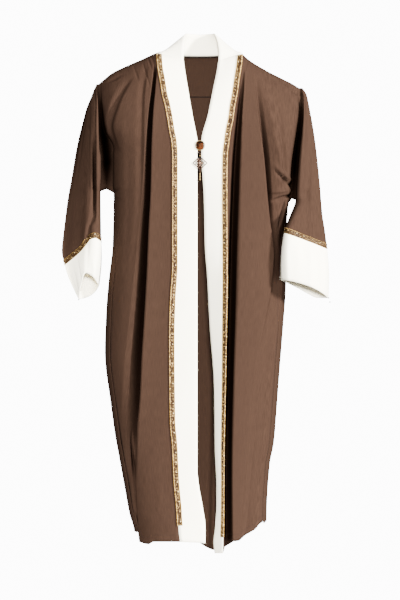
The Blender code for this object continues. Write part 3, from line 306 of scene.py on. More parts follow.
# Cuff hems, one row each: share of the way round the front from the inner edge to the outer, or back
# round the back, then the hem's x, drop and depth. The seam is (x, drop) across the front.
RIGHT_CUFF = {
    "front": ((0.0, 26.6, 61.7, -2.6), (0.25, 28.2, 59.3, -6.4), (0.45, 30.0, 58.4, -6.4),
              (0.62, 31.0, 60.4, -5.8), (0.8, 31.5, 62.8, -4.8), (1.0, 31.9, 65.2, -3.2)),
    "back": ((0.0, 31.9, 65.2, -3.2), (0.3, 31.0, 65.1, -0.6), (0.6, 29.4, 64.6, 0.4),
             (0.85, 27.6, 63.2, -0.6), (1.0, 26.6, 61.7, -2.6)),
    "seam": ((26.1, 49.4), (27.4, 48.5), (28.6, 48.8), (31.2, 51.9), (35.8, 55.6)),
}
LEFT_CUFF = {
    "front": ((0.0, 21.1, 60.1, -6.9), (0.25, 23.2, 60.4, -11.0), (0.6, 28.6, 61.9, -11.2),
              (0.85, 32.4, 63.9, -8.2), (1.0, 33.6, 65.0, -5.6)),
    "back": ((0.0, 33.6, 65.0, -5.6), (0.35, 30.8, 64.9, -1.8), (0.7, 25.8, 62.4, -2.4),
             (1.0, 21.1, 60.1, -6.9)),
    "seam": ((22.2, 47.2), (33.3, 51.4)),
}
CUFF_ROWS = 20
CUFF_BULGE = 0.4

# The strip of a braid: its lift off the cloths, its least ridge where they turn sharply, the rows
# trimmed from its ends, the columns of its ground, and how far that domes, metres.
TRIM_LIFT = 0.0016
LEAST_RIDGE = 0.4
BRAID_TRIM = 5
NECK_FINENESS = 5
NECK_TRIM = 4 * NECK_FINENESS
BRAID_COLUMNS = 6
BRAID_DOME = 0.0009
BRAID_GROUND_WALL = 0.0008
# A folded band puffs out by this much between its edges, metres.
BAND_CROWN = 0.0012
# A sleeve's head is drawn together in steps: share of its depth, and rise, metres.
HEAD_STEPS = ((0.02, 0.0012), (0.45, 0.0010), (0.8, 0.0006))
# The row of a front band that the neck band's end is tucked under, and how deep, metres.
NECK_TUCK = 8
TUCK_DEPTH = 0.0012
# Past the shoulder line a panel runs on this far and is sunk this deep, as far out as this x, metres.
SHOULDER_LAP = 0.007
SHOULDER_DROP = 0.0012
SHOULDER_LAP_END = 0.245

# The twisted cords on a braid's edges, metres. The last two are shares: how far out each lies on the
# braid, and how far up it is raised, of its radius.
CORD_STEP = 0.0016
CORD_RADIUS = 0.0011
CORD_SIDES = 6
CORD_TWIST = 0.0056
CORD_LAY = 0.22
CORD_ACROSS = 0.93
CORD_RAISED = 0.6

# The zigzag of beads reaches this share of the way out, and a sequin or stone in each of its corners
# this share of that. Spacing and rise are in radii of a bead. Each sequin is tilted by its own noise,
# and every third corner opposite one holds a stone.
ZIGZAG_REACH = 0.66
CORNER_REACH = 0.86
BEAD_SPACING = 1.9
BEAD_RAISED = 0.4
SEQUIN_RAISED = 0.3
SEQUIN_TILT = 0.5
TILT_SCALE = 4100.0
STONE_EVERY = 3

# How a sequin or stone is cut: its sides, and its back, front and depth in radii.
SEQUIN_CUT = (6, 1.3, 0.5, 0.7)
STONE_CUT = (8, 1.5, 0.8, 1.1)
CRYSTAL_CUT = (10, 1.0, 0.55, 0.8)

# Sewing, metres. A stitch fills this share of its pitch. The hem's line runs this far above the hem,
# and a panel's side line so many columns in. The topstitches run near the edge of a band or cuff.
STITCH_SHARE = 0.68
STITCH_SIDES = 5
HEM_RISE = 0.018
SIDE_LINE_COLUMNS = 3
BAND_INSET = 0.005
CUFF_INSET = 0.006
# Serging is drawn with a stouter thread. It reaches this far to each side of the neck, and the neck
# facing's edge lies this far down and reaches this far.
SERGING_RADIUS = 0.0005
SERGING_STEP = 0.0012
SERGED_REACH = 0.085
FACING_DROP = 0.114
FACING_REACH = 0.085
# Kinds of stitch. One with a height stands across its line, as serging does.
Stitch = namedtuple("Stitch", "pitch finish slot lift height", defaults=(0.0,))
SEAM_STITCH = Stitch(0.0036, "brown_thread", "satin", 0.0005)
TOPSTITCH = Stitch(0.004, "cream_thread", "crepe", 0.0009)
FACING_SERGING = Stitch(SERGING_STEP, "dark_thread", "satin", 0.0011, 0.0026)
NECK_SERGING = Stitch(SERGING_STEP, "dark_thread", "satin", 0.0022, 0.0052)

# Steps round a turned part, a dome, a loop or an eye, and sides of a wire.
TURN_STEPS = 48
DOME_STEPS = 10
LOOP_STEPS = 28
EYE_STEPS = 24
WIRE_SIDES = 10

# The button: where it sits, then its own sizes, metres. Its back edge is rounded in shares of its
# radius and its edge, and a power below 1 makes its dome fuller. Grains ring its bezel.
BUTTON_BACK_DEPTH = 0.1091
BUTTON_RADIUS = 0.0112
BUTTON_EDGE = 0.0018
BUTTON_DOME = 0.0040
BUTTON_BACK = ((0.0, 0.0), (0.93, 0.0), (0.985, 0.3), (1.0, 0.8))
BUTTON_FULLNESS = 0.8
RIM_WIRE = 0.0009
BEZEL_GRAINS = 30
GRAIN_SHARE = 0.8
LOOP_RADIUS = 0.0036
LOOP_WIRE = 0.0007
EYE_RADIUS = 0.0022
EYE_WIRE = 0.0006

# The pendant, metres.
PENDANT_BEAD = 0.0019
PENDANT_HALF_WIDTH = 0.0182
PENDANT_HALF_HEIGHT = 0.0166
PENDANT_BAR = 0.0013
SCROLL_WIRE = 0.00058
STONE_RADIUS = 0.0022
TIP_RADIUS = 0.0024
TIP_WIRE = 0.0006
BAR_SIDES = 8
SCROLL_SIDES = 6
# Its openwork, as shares of its half width and half height: the shoulder where the dark arms start,
# the inner lozenge and the thickness of its bar and of the arms.
SHOULDER = (0.42, 0.58)
INNER_LOZENGE = 0.66
INNER_BAR = PENDANT_BAR * 0.6
ARM_BAR = PENDANT_BAR * 1.05
# Pairs of scrolls stand round its middle, this share of the way out. Each is so big, shrinks by this
# share along its length, and curls from one angle by the other.
SCROLLS = 8
SCROLL_STEPS = 14
SCROLL_REACH = 0.44
SCROLL_SIZE = 0.15
SCROLL_SHRINK = 0.72
SCROLL_START = 0.5
SCROLL_CURL = 5.2
# Stones in its middle (across, up, size), and on each side of the frame at these shares of it.
MIDDLE_STONES = ((0.0, 0.0, 1.0), (0.0, 0.33, 0.62), (0.0, -0.33, 0.62), (0.33, 0.0, 0.62),
                 (-0.33, 0.0, 0.62))
SIDE_STONES = (0.25, 0.5, 0.75)
SIDE_STONE_REACH = 0.83
SIDE_STONE_SIZE = 0.42
# How far each of these lies in front of the frame's middle, metres.
INNER_LIFT = 0.0003
SCROLL_LIFT = 0.0004
ARM_LIFT = 0.0002
STONE_LIFT = 0.0012

# Beads of the tail, metres, and the shape of each in radii: half its height, and the ring at each end
# with its wire and how far along the bead it sits.
TAIL_BEADS = (0.0018, 0.0015, 0.0020, 0.0015, 0.0022)
TAIL_BEAD_STEPS = 12
TAIL_BEAD_SIDES = 20
TAIL_BEAD_HEIGHT = 0.98
CAP_RADIUS = 0.45
CAP_WIRE = 0.16
CAP_STEPS = 14
CAP_SIDES = 6
CAP_PLACE = 0.92
# Corner beads of the cuffs, metres: x, drop and depth of each, cm.
CUFF_BEAD = 0.0019
CUFF_BEADS = ((33.75, 64.9, -5.7), (34.1, 66.0, -5.7), (-31.9, 65.4, -3.3))

# How a part made about its Z axis is turned: to face the front, or to stand edge on to it.
FACING = Matrix.Rotation(pi / 2, 4, "X")
EDGE_ON = Matrix.Rotation(pi / 2, 4, "Y")

# How far the cloth is drawn in along the front of the armhole, and how near to it. It starts this far
# below the armhole's top, comes in and fades over these, and is whole this far ahead of the side, cm.
TUCK_IN = 1.6
TUCK_REACH = 1.6
TUCK_START = 4.0
TUCK_RISE = 8.0
TUCK_FADE = 7.0
TUCK_AHEAD = 1.2

# Painted shade: how far the satin looks for cloth shutting it in, metres; deep in a fold it is nearly
# black.
FOLD_SHADE_REACH = 0.035
# How much more amber the button's resin is painted for each metre further down: a painted glow.
PAINTED_GLOW_LEAN = 18.0

# Unevenness of the cloth: its waves a metre across, and their share of that down it. Finer waves are
# added, so many times as close and at this share.
SWAY_SCALE = 14.0
SWAY_DOWN = 0.35
FINE_SCALE = 3.3
FINE_DOWN = 0.5
FINE_SHARE = 0.3
# It comes in over so many rows and columns from a seam.
EASE_ROWS = 4.0
EASE_COLUMNS = 3.0

# A crease narrows to this share at its ends, and below 1 this power keeps it deep nearer to them.
CREASE_END_WIDTH = 0.6
CREASE_FULLNESS = 0.7

# Creases laid into the cloth, cm: from (x1, drop1) to (x2, drop2), with the half width and
# the rise at the middle. A negative rise is a valley. They lie in front unless the row says not.
Crease = namedtuple("Crease", "x1 drop1 x2 drop2 width rise front", defaults=(True,))
CREASES = {
    "front_right": (
        (-9.6, 101.0, -7.2, 103.4, 0.5, -0.10), (-10.2, 107.5, -7.0, 110.4, 0.5, -0.12),
        (-9.6, 113.5, -6.6, 117.0, 0.5, -0.10), (-11.2, 111.0, -10.2, 124.0, 0.7, 0.12),
        (-18.0, 100.0, -16.4, 131.0, 0.6, -0.9), (-12.9, 0.9, -11.4, 5.0, 0.5, -0.14),
        (-13.9, 1.3, -12.4, 5.6, 0.5, -0.12), (-24.6, 8.2, -20.4, 6.3, 0.7, -0.25),
        (-20.2, 18.0, -20.8, 60.0, 1.9, 0.2), (-15.2, 2.6, -13.0, 10.0, 0.45, -0.16),
        (-17.6, 3.6, -15.6, 9.6, 0.5, -0.14), (-24.0, 37.2, -20.8, 36.0, 0.7, -0.3),
        (-24.0, 38.2, -19.8, 39.6, 0.8, -0.25),
    ),
    "front_left": (
        (20.4, 6.6, 26.6, 12.2, 0.5, -0.5), (19.6, 31.6, 25.2, 36.4, 0.75, -1.0),
        (19.2, 30.2, 24.8, 34.6, 0.7, 0.5), (25.4, 37.6, 18.6, 39.6, 0.75, -1.0),
        (22.8, 38.6, 20.6, 46.4, 0.6, -0.9), (24.0, 40.2, 22.4, 47.0, 0.6, 0.5),
        (24.8, 36.4, 17.8, 37.4, 0.7, 0.5), (21.2, 46.0, 22.4, 62.0, 0.7, -0.3),
        (12.8, 1.6, 11.6, 6.0, 0.5, -0.14), (17.0, 70.0, 12.6, 122.0, 1.8, 0.3),
    ),
    "band_right": (
        (-5.6, 3.0, -5.2, 9.5, 0.7, 0.08), (-5.2, 119.0, -1.8, 118.2, 0.6, -0.12),
    ),
    "band_left": (
        (6.3, 1.4, 6.3, 6.2, 0.5, -0.14), (4.6, 96.0, 5.2, 126.0, 0.5, 0.10),
    ),
    "band_neck": (
        (-10.2, 0.6, -5.0, 2.3, 0.6, -0.16), (-9.6, -1.2, -4.6, 0.6, 0.6, -0.10),
        (3.4, -5.2, 5.9, -1.4, 0.6, -0.16), (5.6, -2.4, 6.5, 2.2, 0.6, -0.14),
    ),
    "sleeve_right": (
        (-27.7, 11.0, -27.7, 47.0, 0.5, -1.1), (-28.5, 9.5, -28.4, 45.0, 0.5, 0.26),
        (-27.0, 9.5, -26.9, 45.0, 0.45, 0.28), (-30.0, 16.0, -30.2, 52.0, 2.4, 0.3),
        (-29.0, 14.0, -30.5, 60.0, 1.4, -0.4, False),
    ),
    "sleeve_left": (
        (25.9, 10.6, 28.2, 13.4, 0.6, -0.22), (28.0, 12.6, 28.0, 17.0, 0.5, -0.2),
        (25.6, 38.4, 28.6, 36.6, 0.7, -0.25), (28.8, 14.0, 28.0, 46.0, 1.5, -0.4, False),
    ),
    "cuff_right": (
        (-32.2, 54.4, -30.9, 63.6, 0.6, -0.2), (-33.5, 55.6, -31.9, 64.0, 0.5, -0.14),
        (-28.0, 54.0, -27.6, 60.2, 0.8, 0.18),
    ),
    "cuff_left": (
        (27.0, 50.5, 29.6, 55.6, 1.4, 0.16), (23.8, 50.2, 24.2, 58.8, 1.2, -0.14),
        (31.6, 52.0, 31.6, 62.4, 1.3, -0.14),
    ),
    "back": (
        (-20.5, 12.0, -21.0, 62.0, 1.9, 0.35, False), (20.5, 12.0, 21.0, 62.0, 1.9, 0.35, False),
        (-23.6, 38.0, -19.6, 36.6, 0.8, -0.28, False), (-23.6, 38.9, -19.0, 39.8, 0.8, -0.25, False),
        (23.6, 39.6, 19.6, 38.2, 0.8, -0.28, False), (23.6, 40.4, 19.4, 41.6, 0.8, -0.25, False),
        (-8.0, 9.0, -5.5, 26.0, 1.8, 0.22, False), (8.0, 9.0, 5.5, 26.0, 1.8, 0.22, False),
    ),
}

# The stage: the camera looks along +Y at the middle of the photograph's frame.
LOOKED_AT = Vector((0.0, 0.0, -0.6547))
CAMERA_DISTANCE = 10.0
FRAME_HEIGHT = 1.584
SENSOR = 36.0
FARTHEST = 40.0
FLOOR_RADIUS = 0.75
FLOOR_HEIGHT = -1.56
FLOOR_SIDES = 96
# The air lights the cloth at the first strength, and looks as bright as the second.
AIR_STRENGTH = 0.4
SWEEP_STRENGTH = 12.5
# Soft lamps: name, place, width across, watts. The neck's is a narrow one: place, goal, softness,
# cone and watts, and how softly its cone ends.
LAMPS = (("key_lamp", (7.2, -4.8, 1.8), 1.1, 6900.0), ("front_lamp", (0.2, -8.6, 0.6), 1.0, 3900.0),
         ("back_lamp", (0.6, 3.4, 0.8), 2.4, 150.0))
NECK_LAMP = (Vector((0.0, -6.0, 0.5)), Vector((0.0, 0.05, -0.07)), 0.2, radians(2.3), 2600.0)
CONE_BLEND = 0.8


# Shape of the cloth

def along(table, at):
    """Read a (position, value) table on a smooth curve that never overshoots its values."""
    spots = [row[0] for row in table]
    values = [row[1] for row in table]
    if at <= spots[0]:
        return values[0]
    if at >= spots[-1]:
        return values[-1]
    last = len(spots) - 1
    secants = [(values[i + 1] - values[i]) / (spots[i + 1] - spots[i]) for i in range(last)]

    def slope(i):
        if i in (0, last):
            return secants[min(i, last - 1)]
        before, after = secants[i - 1], secants[i]
        return 0.0 if before * after <= 0.0 else 2.0 * before * after / (before + after)

    k = max(i for i in range(last) if spots[i] <= at)
    step = spots[k + 1] - spots[k]
    t = (at - spots[k]) / step
    return (values[k] * (1 + 2 * t) * (1 - t) ** 2 + values[k + 1] * t * t * (3 - 2 * t)
            + slope(k) * step * t * (1 - t) ** 2 - slope(k + 1) * step * t * t * (1 - t))


def mix(a, b, share):
    """The value this share of the way from a to b."""
    return a + (b - a) * share


def held(value, low=0.0, high=1.0):
    """The value, kept between low and high."""
    return max(low, min(high, value))


def place(x, drop, depth):
    """A point from centimetres: x across, drop below the neck points, depth behind the side line."""
    return Vector((x * CM, depth * CM, -drop * CM))


def rounded(below, rounding):
    """How much of its full depth the cloth has reached this far below the shoulder line."""
    return sqrt(1.0 - (1.0 - held(below / rounding)) ** 2)


def dent(folds, x, drop):
    """How deep the folds push the cloth in at this place."""
    total = 0.0
    for fold in folds:
        centre = along(fold.x, drop)
        width = along(fold.inner if x < centre else fold.outer, drop)
        nearness = held(1.0 - abs(x - centre) / width)
        if (x - centre) * fold.crisp > 0.0:
            share = sin(pi / 2 * nearness) ** FOLD_CRISPNESS
            lip = held(1.0 - (abs(x - centre) - width) / FOLD_REACH) ** 2
            share -= fold.proud / FOLD_DEEPER * lip * (1.0 - share)
        elif fold.crisp:
            slot = held(1.0 - abs(x - centre) / (along(fold.inner, drop) * FOLD_SLOT))
            steep = (0.5 - 0.5 * cos(pi * slot)) ** FOLD_CRISPNESS
            share = mix(steep, nearness, fold.ramp)
        else:
            share = (0.5 - 0.5 * cos(pi * nearness)) ** FOLD_SQUARENESS
        total += along(fold.depth, drop) * share * (FOLD_DEEPER if fold.crisp else 1.0)
    return total


def fold_guides(folds, drop, with_lips):
    """Places of the columns that follow the folds; the first and the crisp ones also guide two lips."""
    guides = []
    for number, fold in enumerate(folds):
        centre = along(fold.x, drop)
        if with_lips and (number == 0 or fold.crisp):
            guides.append(centre - along(fold.inner, drop))
            guides.append(centre)
            guides.append(centre + min(along(fold.outer, drop), LIP_LIMIT))
        else:
            guides.append(centre)
    return guides


def ordered(guides, counts, end):
    """Keep guides in order with room for the steps between them, and short of the end."""
    result = [guides[0]]
    for value, count in zip(guides[1:], counts):
        result.append(max(value, result[-1] + LEAST_TURN * count))
    room = end
    for k in range(len(result) - 1, 0, -1):
        room -= LEAST_TURN * counts[k]
        result[k] = min(result[k], room)
        room = result[k]
    return result


def spread(guides, counts):
    """Values between guide values, with so many steps in each gap."""
    values = [guides[0]]
    for low, high, count in zip(guides, guides[1:], counts):
        values += [mix(low, high, (k + 1) / count) for k in range(count)]
    return values


def row_shares(side):
    """Shares of the way from the shoulder line to the hem, with one row just at the underarm."""
    arm = (side["arm_low"] - side["arm_top"]) / (side["side_hem"] - side["arm_top"])
    upper = [arm * (j / ROWS_TO_ARM) ** UPPER_CROWDING for j in range(ROWS_TO_ARM)]
    lower = [mix(arm, 1.0, (j / ROWS_TO_HEM) ** LOWER_CROWDING) for j in range(ROWS_TO_HEM + 1)]
    return upper + lower


def side_angle(side, drop):
    """Where the side seam lies round the section: 90 degrees is straight out to the side."""
    start, end = SIDE_SEAM_TURN
    forward = asin(SIDE_SEAM_SHARE ** (BODY_POWER / 2))
    return mix(pi / 2, forward, held((drop - side["arm_low"] - start) / (end - start)))


def floor_depth(side, drop):
    """Depth of the armhole's edge from the side line, fading to none above and below the armhole."""
    above = held(drop - side["arm_top"] + ARMHOLE_RISE)
    below = held((side["arm_low"] + ARMHOLE_FADE_END - drop) / ARMHOLE_FADE)
    return along(side["armhole_depth"], drop) * above * below * below * (3.0 - 2.0 * below)


def body_point(side, angle, forward, drop, below, start_depth, folds):
    """A point of the body's section: angle 0 is the middle of the front, 180 degrees of the back."""
    half = along(side["reach"], drop)
    across = half * abs(sin(angle)) ** (2 / BODY_POWER)
    share = abs(cos(angle)) ** (2 / BODY_POWER)
    full = along(FRONT_DEPTH if forward else BACK_DEPTH, drop)
    rise = rounded(below, CHEST_ROUNDING if forward else BACK_ROUNDING)
    edge = floor_depth(side, drop)
    depth = max(mix(start_depth, full, rise) - edge, 0.0) * share + edge
    inward = dent(folds, across, drop)
    slope_x = (across / half) ** (BODY_POWER - 1) / half
    slope_y = (depth / full) ** (BODY_POWER - 1) / full
    length = max(sqrt(slope_x ** 2 + slope_y ** 2), LEAST_SLOPE)
    across -= inward * slope_x / length
    depth -= inward * slope_y / length
    return place(side["sign"] * across, drop, -depth if forward else depth)


def panel_angles(side, guides, counts, drop, end):
    """Angles of a panel's columns from its middle out, all but its side edge."""
    half = along(side["reach"], drop)
    turned = [asin(held(x / half) ** (BODY_POWER / 2)) for x in guides]
    last = end - held(drop - side["arm_low"]) * EDGE_TURN
    return spread(ordered(turned, counts, last) + [last], counts)


def side_edge(side, drop, forward):
    """A point of a panel's outer edge: the armhole first, then the side seam."""
    depth = along(side["armhole_depth"], drop)
    arm = place(side["sign"] * along(side["armhole"], drop), drop, -depth if forward else depth)
    seam = body_point(side, side_angle(side, drop), True, drop, LENGTH_BELOW, 0.0, ())
    return arm.lerp(seam, held(drop - side["arm_low"]))


def shoulder_top(side, x):
    """Drop and depth of the front's top edge at this x."""
    return along(side["shoulder"], x), 0.0


def back_top(side, x):
    """Drop and depth of the back's top edge at this x: the neckline, then the shoulder line."""
    if x >= NECK_HALF_WIDTH:
        return shoulder_top(side, x)
    share = 1.0 - (x / NECK_HALF_WIDTH) ** NECK_POWER
    return NECK_BACK_DROP * share, NECK_BACK_DEPTH * share ** NECK_FULLNESS


def panel_rows(side, guides_at, counts, folds, forward, top_at, hem_at):
    """Rows of points of a panel from its top edge down, each from the middle to the side edge."""

    def angle_at(column, drop):
        end = side_angle(side, drop)
        end = end if forward else pi - end
        return panel_angles(side, guides_at(drop), counts, drop, end)[column]

    def x_at(column, drop):
        return along(side["reach"], drop) * abs(sin(angle_at(column, drop))) ** (2 / BODY_POWER)

    shares = row_shares(side)
    rows = [[] for _ in shares]
    for column in range(sum(counts) + 1):
        top = 0.0
        for _ in range(SETTLING_STEPS):
            top, start_depth = top_at(side, x_at(column, top))
        low = side["side_hem"]
        for _ in range(SETTLING_STEPS):
            low = hem_at(x_at(column, low))
        for row, share in zip(rows, shares):
            drop = mix(top, low, share)
            angle = angle_at(column, drop)
            turned = angle if forward else pi - angle
            ahead = forward or turned < pi / 2 - TIE
            row.append(body_point(side, turned, ahead, drop, drop - top, start_depth, folds))
    for row, share in zip(rows, shares):
        row.append(side_edge(side, mix(side["arm_top"], side["side_hem"], share), forward))
    return rows


def band_seam(side, drop):
    """The seam of front and band runs just inside the braid's outer edge."""
    return along(side["braid"], drop) + BRAID_OFFSET


def front_rows(side, folds):
    """Rows of a front panel, from the braid's seam to the side."""
    def guides_at(drop):
        return [band_seam(side, drop)] + fold_guides(folds, drop, True)

    def hem_at(x):
        return along(side["hem"], x)

    return panel_rows(side, guides_at, side["columns"], folds, True, shoulder_top, hem_at)


def back_rows():
    """The whole back: the right half from its side edge to the middle, then the left half out."""
    halves = []
    for side in (RIGHT, LEFT):
        def guides_at(drop):
            return [0.0] + fold_guides(BACK_FOLDS, drop, False)

        def hem_at(x, sign=side["sign"]):
            return along(BACK_HEM, sign * x)

        halves.append(panel_rows(side, guides_at, BACK_COLUMNS, BACK_FOLDS, False, back_top, hem_at))
    right, left = halves
    return [list(reversed(a))[:-1] + [(a[0] + b[0]) / 2] + b[1:] for a, b in zip(right, left)]


def sleeve_rows(side, sleeve, cuff):
    """Rows of a sleeve from its head down, each from the front of the armhole round to the back."""
    sign = side["sign"]
    shares = row_shares(side)[1:ROWS_TO_ARM + 1]
    inner_drops = [mix(side["arm_top"], side["side_hem"], share) for share in shares]
    outer_top = sleeve["outer"][0][0]
    outer_arm = side["arm_low"] - SLEEVE_SLANT
    last = len(shares) - 1
    outer_drops = [mix(outer_top, outer_arm, (j / last) ** LOWER_CROWDING) for j in range(last + 1)]
    rows = []
    for j in range(last + 1 + SLEEVE_ROWS_BELOW):
        low_share = held((j - last) / SLEEVE_ROWS_BELOW)
        inner_drop = mix(inner_drops[min(j, last)], sleeve["seam_inner"], low_share)
        outer_drop = mix(outer_drops[min(j, last)], sleeve["seam_outer"], low_share)
        inner_x = along(sleeve["inner"], inner_drop)
        outer_x = along(sleeve["outer"], outer_drop)
        closed = j > last
        edge = 0.0 if closed else along(side["armhole_depth"], inner_drop)

        def across_share(x):
            """Position across the sleeve: 1 is the inner edge, -1 the outer."""
            return held(1.0 - 2.0 * (x - inner_x) / (outer_x - inner_x), -1.0, 1.0)

        def turn_of(x):
            at = across_share(x)
            return acos((1 if at > 0 else -1) * abs(at) ** (SLEEVE_POWER / 2))

        def point(turn, forward):
            at = (1 if cos(turn) > 0 else -1) * abs(cos(turn)) ** (2 / SLEEVE_POWER)
            out = (1.0 - at) / 2.0
            x = mix(inner_x, outer_x, out)
            drop = mix(inner_drops[min(j, last)], outer_drops[min(j, last)], out)
            seam = mix(sleeve["seam_inner"], sleeve["seam_outer"], out)
            drop = mix(drop, along(cuff["seam"], x) if forward else seam, low_share)
            inner_lean = along(sleeve["lean_inner"], inner_drop)
            lean = mix(inner_lean, along(sleeve["lean_outer"], outer_drop), out)
            bulge = along(sleeve["half_depth"], drop) * abs(sin(turn)) ** (2 / SLEEVE_POWER)
            depth = bulge + edge * max(at, 0.0) ** 2
            if forward:
                depth -= dent(sleeve["folds"], x, drop) + bulge * sleeve["tilt"] * out ** SLEEVE_TILT_CURVE
            return place(sign * x, drop, lean - depth if forward else lean + depth)

        middle_drop = mix(inner_drop, outer_drop, 0.5)
        guides = [turn_of(x) for x in fold_guides(sleeve["folds"], middle_drop, True)]
        even = [pi * (k + 1) / (len(guides) + 1) for k in range(len(guides))]
        followed = held((outer_x - inner_x) / HEAD_WIDTH - 1.0)
        guides = [mix(plain, led, followed) for plain, led in zip(even, guides)]
        first = SLEEVE_EDGE_TURN if closed else 0.0
        turned = ordered([first] + guides, sleeve["columns"], pi)
        front = [point(turn, True) for turn in spread(turned + [pi], sleeve["columns"])]
        back_turns = [mix(pi, first, (k + 1) / SLEEVE_BACK_COLUMNS) for k in range(SLEEVE_BACK_COLUMNS)]
        back = [point(turn, False) for turn in back_turns]
        if closed:
            start = finish = point(0.0, False)
        else:
            arm_x = sign * along(side["armhole"], inner_drop)
            start = place(arm_x, inner_drop, -edge)
            finish = place(arm_x, inner_drop, edge)
        rows.append([start] + front + back + [finish])
    return rows


def cuff_rows(side, sleeve, cuff, top_row):
    """Rows of a cuff from the sleeve's last row down to its slanted hem."""
    outer_column = 1 + sum(sleeve["columns"])
    hem = []
    for name, stretch in (("front", top_row[:outer_column + 1]), ("back", top_row[outer_column:])):
        table = cuff[name]
        for share in shares_along(stretch):
            x, drop, depth = (along([(row[0], row[value]) for row in table], share) for value in (1, 2, 3))
            hem.append(place(side["sign"] * x, drop, depth))
    del hem[outer_column]
    rows = []
    for j in range(CUFF_ROWS + 1):
        share = j / CUFF_ROWS
        ring = [top.lerp(low, share) for top, low in zip(top_row, hem)]
        middle = sum(ring, Vector()) / len(ring)
        swell = CUFF_BULGE * CM * sin(pi * share)
        rows.append([point + (point - middle).normalized() * swell for point in ring])
    return rows


def band_rows(seam_points, edge_table):
    """Rows of a front band from the shoulder down: from its seam across to its free edge."""
    first, last = edge_table[0][0], edge_table[-1][0]
    rows = []
    for seam in seam_points:
        share = (-seam.z / CM) / (-seam_points[-1].z / CM)
        drop = mix(first, last, share)
        x = along([row[:2] for row in edge_table], drop)
        depth = along([(row[0], row[2]) for row in edge_table], drop)
        free = place(x, drop, -depth)
        rows.append([seam.lerp(free, k / BAND_STEPS) for k in range(BAND_STEPS + 1)])
    return rows


def neck_rows(neckline):
    """The neck band, one row for each station: from its seam on the neckline to its free edge."""
    spots = range(len(NECK_STATIONS))
    tables = [[(k, NECK_STATIONS[k][0]) for k in spots]]
    tables += [[(k, NECK_STATIONS[k][1][part]) for k in spots] for part in range(3)]
    rows = []
    for number in range((len(NECK_STATIONS) - 1) * NECK_FINENESS + 1):
        x, *free = (along(table, number / NECK_FINENESS) for table in tables)
        k = max(i for i in range(len(neckline) - 1) if neckline[i].x <= x * CM or i == 0)
        start, finish = neckline[k], neckline[k + 1]
        seam = start.lerp(finish, held((x * CM - start.x) / (finish.x - start.x)))
        edge = place(*free)
        rows.append([seam.lerp(edge, step / NECK_STEPS) for step in range(NECK_STEPS + 1)])
    return rows


def strip_rows(middle, side_a, side_b, reach_a, reach_b, lift, ring=False):
    """A strip over a seam: it reaches over both cloths and lies just off them."""
    rows = []
    last = len(middle) - 1
    for j, point in enumerate(middle):
        before = middle[max(j - 1, 0)]
        after = middle[min(j + 1, last)]
        if ring and j in (0, last):
            before, after = middle[last - 1], middle[1]
        course = (after - before).normalized()
        over_a, over_b = ((away - course * away.dot(course)).normalized()
                          for away in (side_a[j] - point, side_b[j] - point))
        out_a = over_a.cross(course).normalized()
        out_b = course.cross(over_b).normalized()
        between = (out_a + out_b).normalized()
        ridge = lift / max(between.dot(out_a), LEAST_RIDGE)
        rows.append([point + over_a * reach_a + out_a * lift, point + between * ridge,
                     point + over_b * reach_b + out_b * lift])
    return rows


def on_cloth(rows, near, width):
    """A strip that lies on one cloth, a little way in from the first point of each row."""
    strip = []
    last = len(rows) - 1
    for j, row in enumerate(rows):
        course = (rows[min(j + 1, last)][0] - rows[max(j - 1, 0)][0]).normalized()
        over = row[-1] - row[0]
        over = (over - course * over.dot(course)).normalized()
        out = over.cross(course).normalized()
        strip.append([row[0] + out * NECK_BRAID_LIFT + over * reach for reach in (near, near + width)])
    return strip


# Sheets

def outward(rows, core_of):
    """Directions out of a sheet at its points, on the side away from the core that it goes round."""
    last_row, last = len(rows) - 1, len(rows[0]) - 1
    result, agreed = [], 0
    for j, row in enumerate(rows):
        core = core_of(row)
        line = []
        for i, point in enumerate(row):
            across = row[min(i + 1, last)] - row[max(i - 1, 0)]
            down = rows[min(j + 1, last_row)][i] - rows[max(j - 1, 0)][i]
            out = across.cross(down)
            out = out.normalized() if out.length > LEAST_CROSS else Vector((0.0, -1.0, 0.0))
            agreed += 1 if out.dot(Vector((point.x - core.x, point.y - core.y, 0.0))) > 0.0 else -1
            line.append(out)
        result.append(line)
    return result if agreed > 0 else [[-out for out in line] for line in result]


def body_core(row):
    """The body's sheets all go round the middle of the garment."""
    return Vector((0.0, 0.0, 0.0))


def ring_core(row):
    """A sleeve or cuff goes round the middle of each of its rows."""
    return sum(row, Vector()) / len(row)


def core_for(name):
    """What the sheet of this name goes round."""
    return ring_core if name.startswith(("sleeve", "cuff")) else body_core


def crease_rise(crease, x, drop):
    """How far a crease lifts the cloth here, in cm: a line that fades at its ends and its sides."""
    run_x, run_drop = crease.x2 - crease.x1, crease.drop2 - crease.drop1
    length = run_x ** 2 + run_drop ** 2
    at = ((x - crease.x1) * run_x + (drop - crease.drop1) * run_drop) / length
    if not 0.0 < at < 1.0:
        return 0.0
    gap_x, gap_drop = x - crease.x1 - at * run_x, drop - crease.drop1 - at * run_drop
    gap = sqrt(gap_x ** 2 + gap_drop ** 2) / (crease.width * mix(CREASE_END_WIDTH, 1.0, sin(pi * at)))
    if gap >= 1.0:
        return 0.0
    return crease.rise * sin(pi * at) ** CREASE_FULLNESS * (1.0 - gap * gap) ** 2


def tucked(rows, side):
    """Draw the cloth in along the front of the armhole, the same for every piece that meets there."""
    drawn = []
    for row in rows:
        line = []
        for point in row:
            x, drop = abs(point.x) / CM, -point.z / CM
            gap = held(1.0 - abs(x - along(side["armhole"], drop)) / TUCK_REACH)
            fade = held((drop - side["arm_top"] - TUCK_START) / TUCK_RISE)
            fade *= held((side["arm_low"] - drop) / TUCK_FADE)
            ahead = held(-point.y / CM / TUCK_AHEAD)
            depth = TUCK_IN * gap * gap * (3.0 - 2.0 * gap) * fade * ahead
            line.append(point + Vector((0.0, depth * CM, 0.0)))
        drawn.append(line)
    return drawn


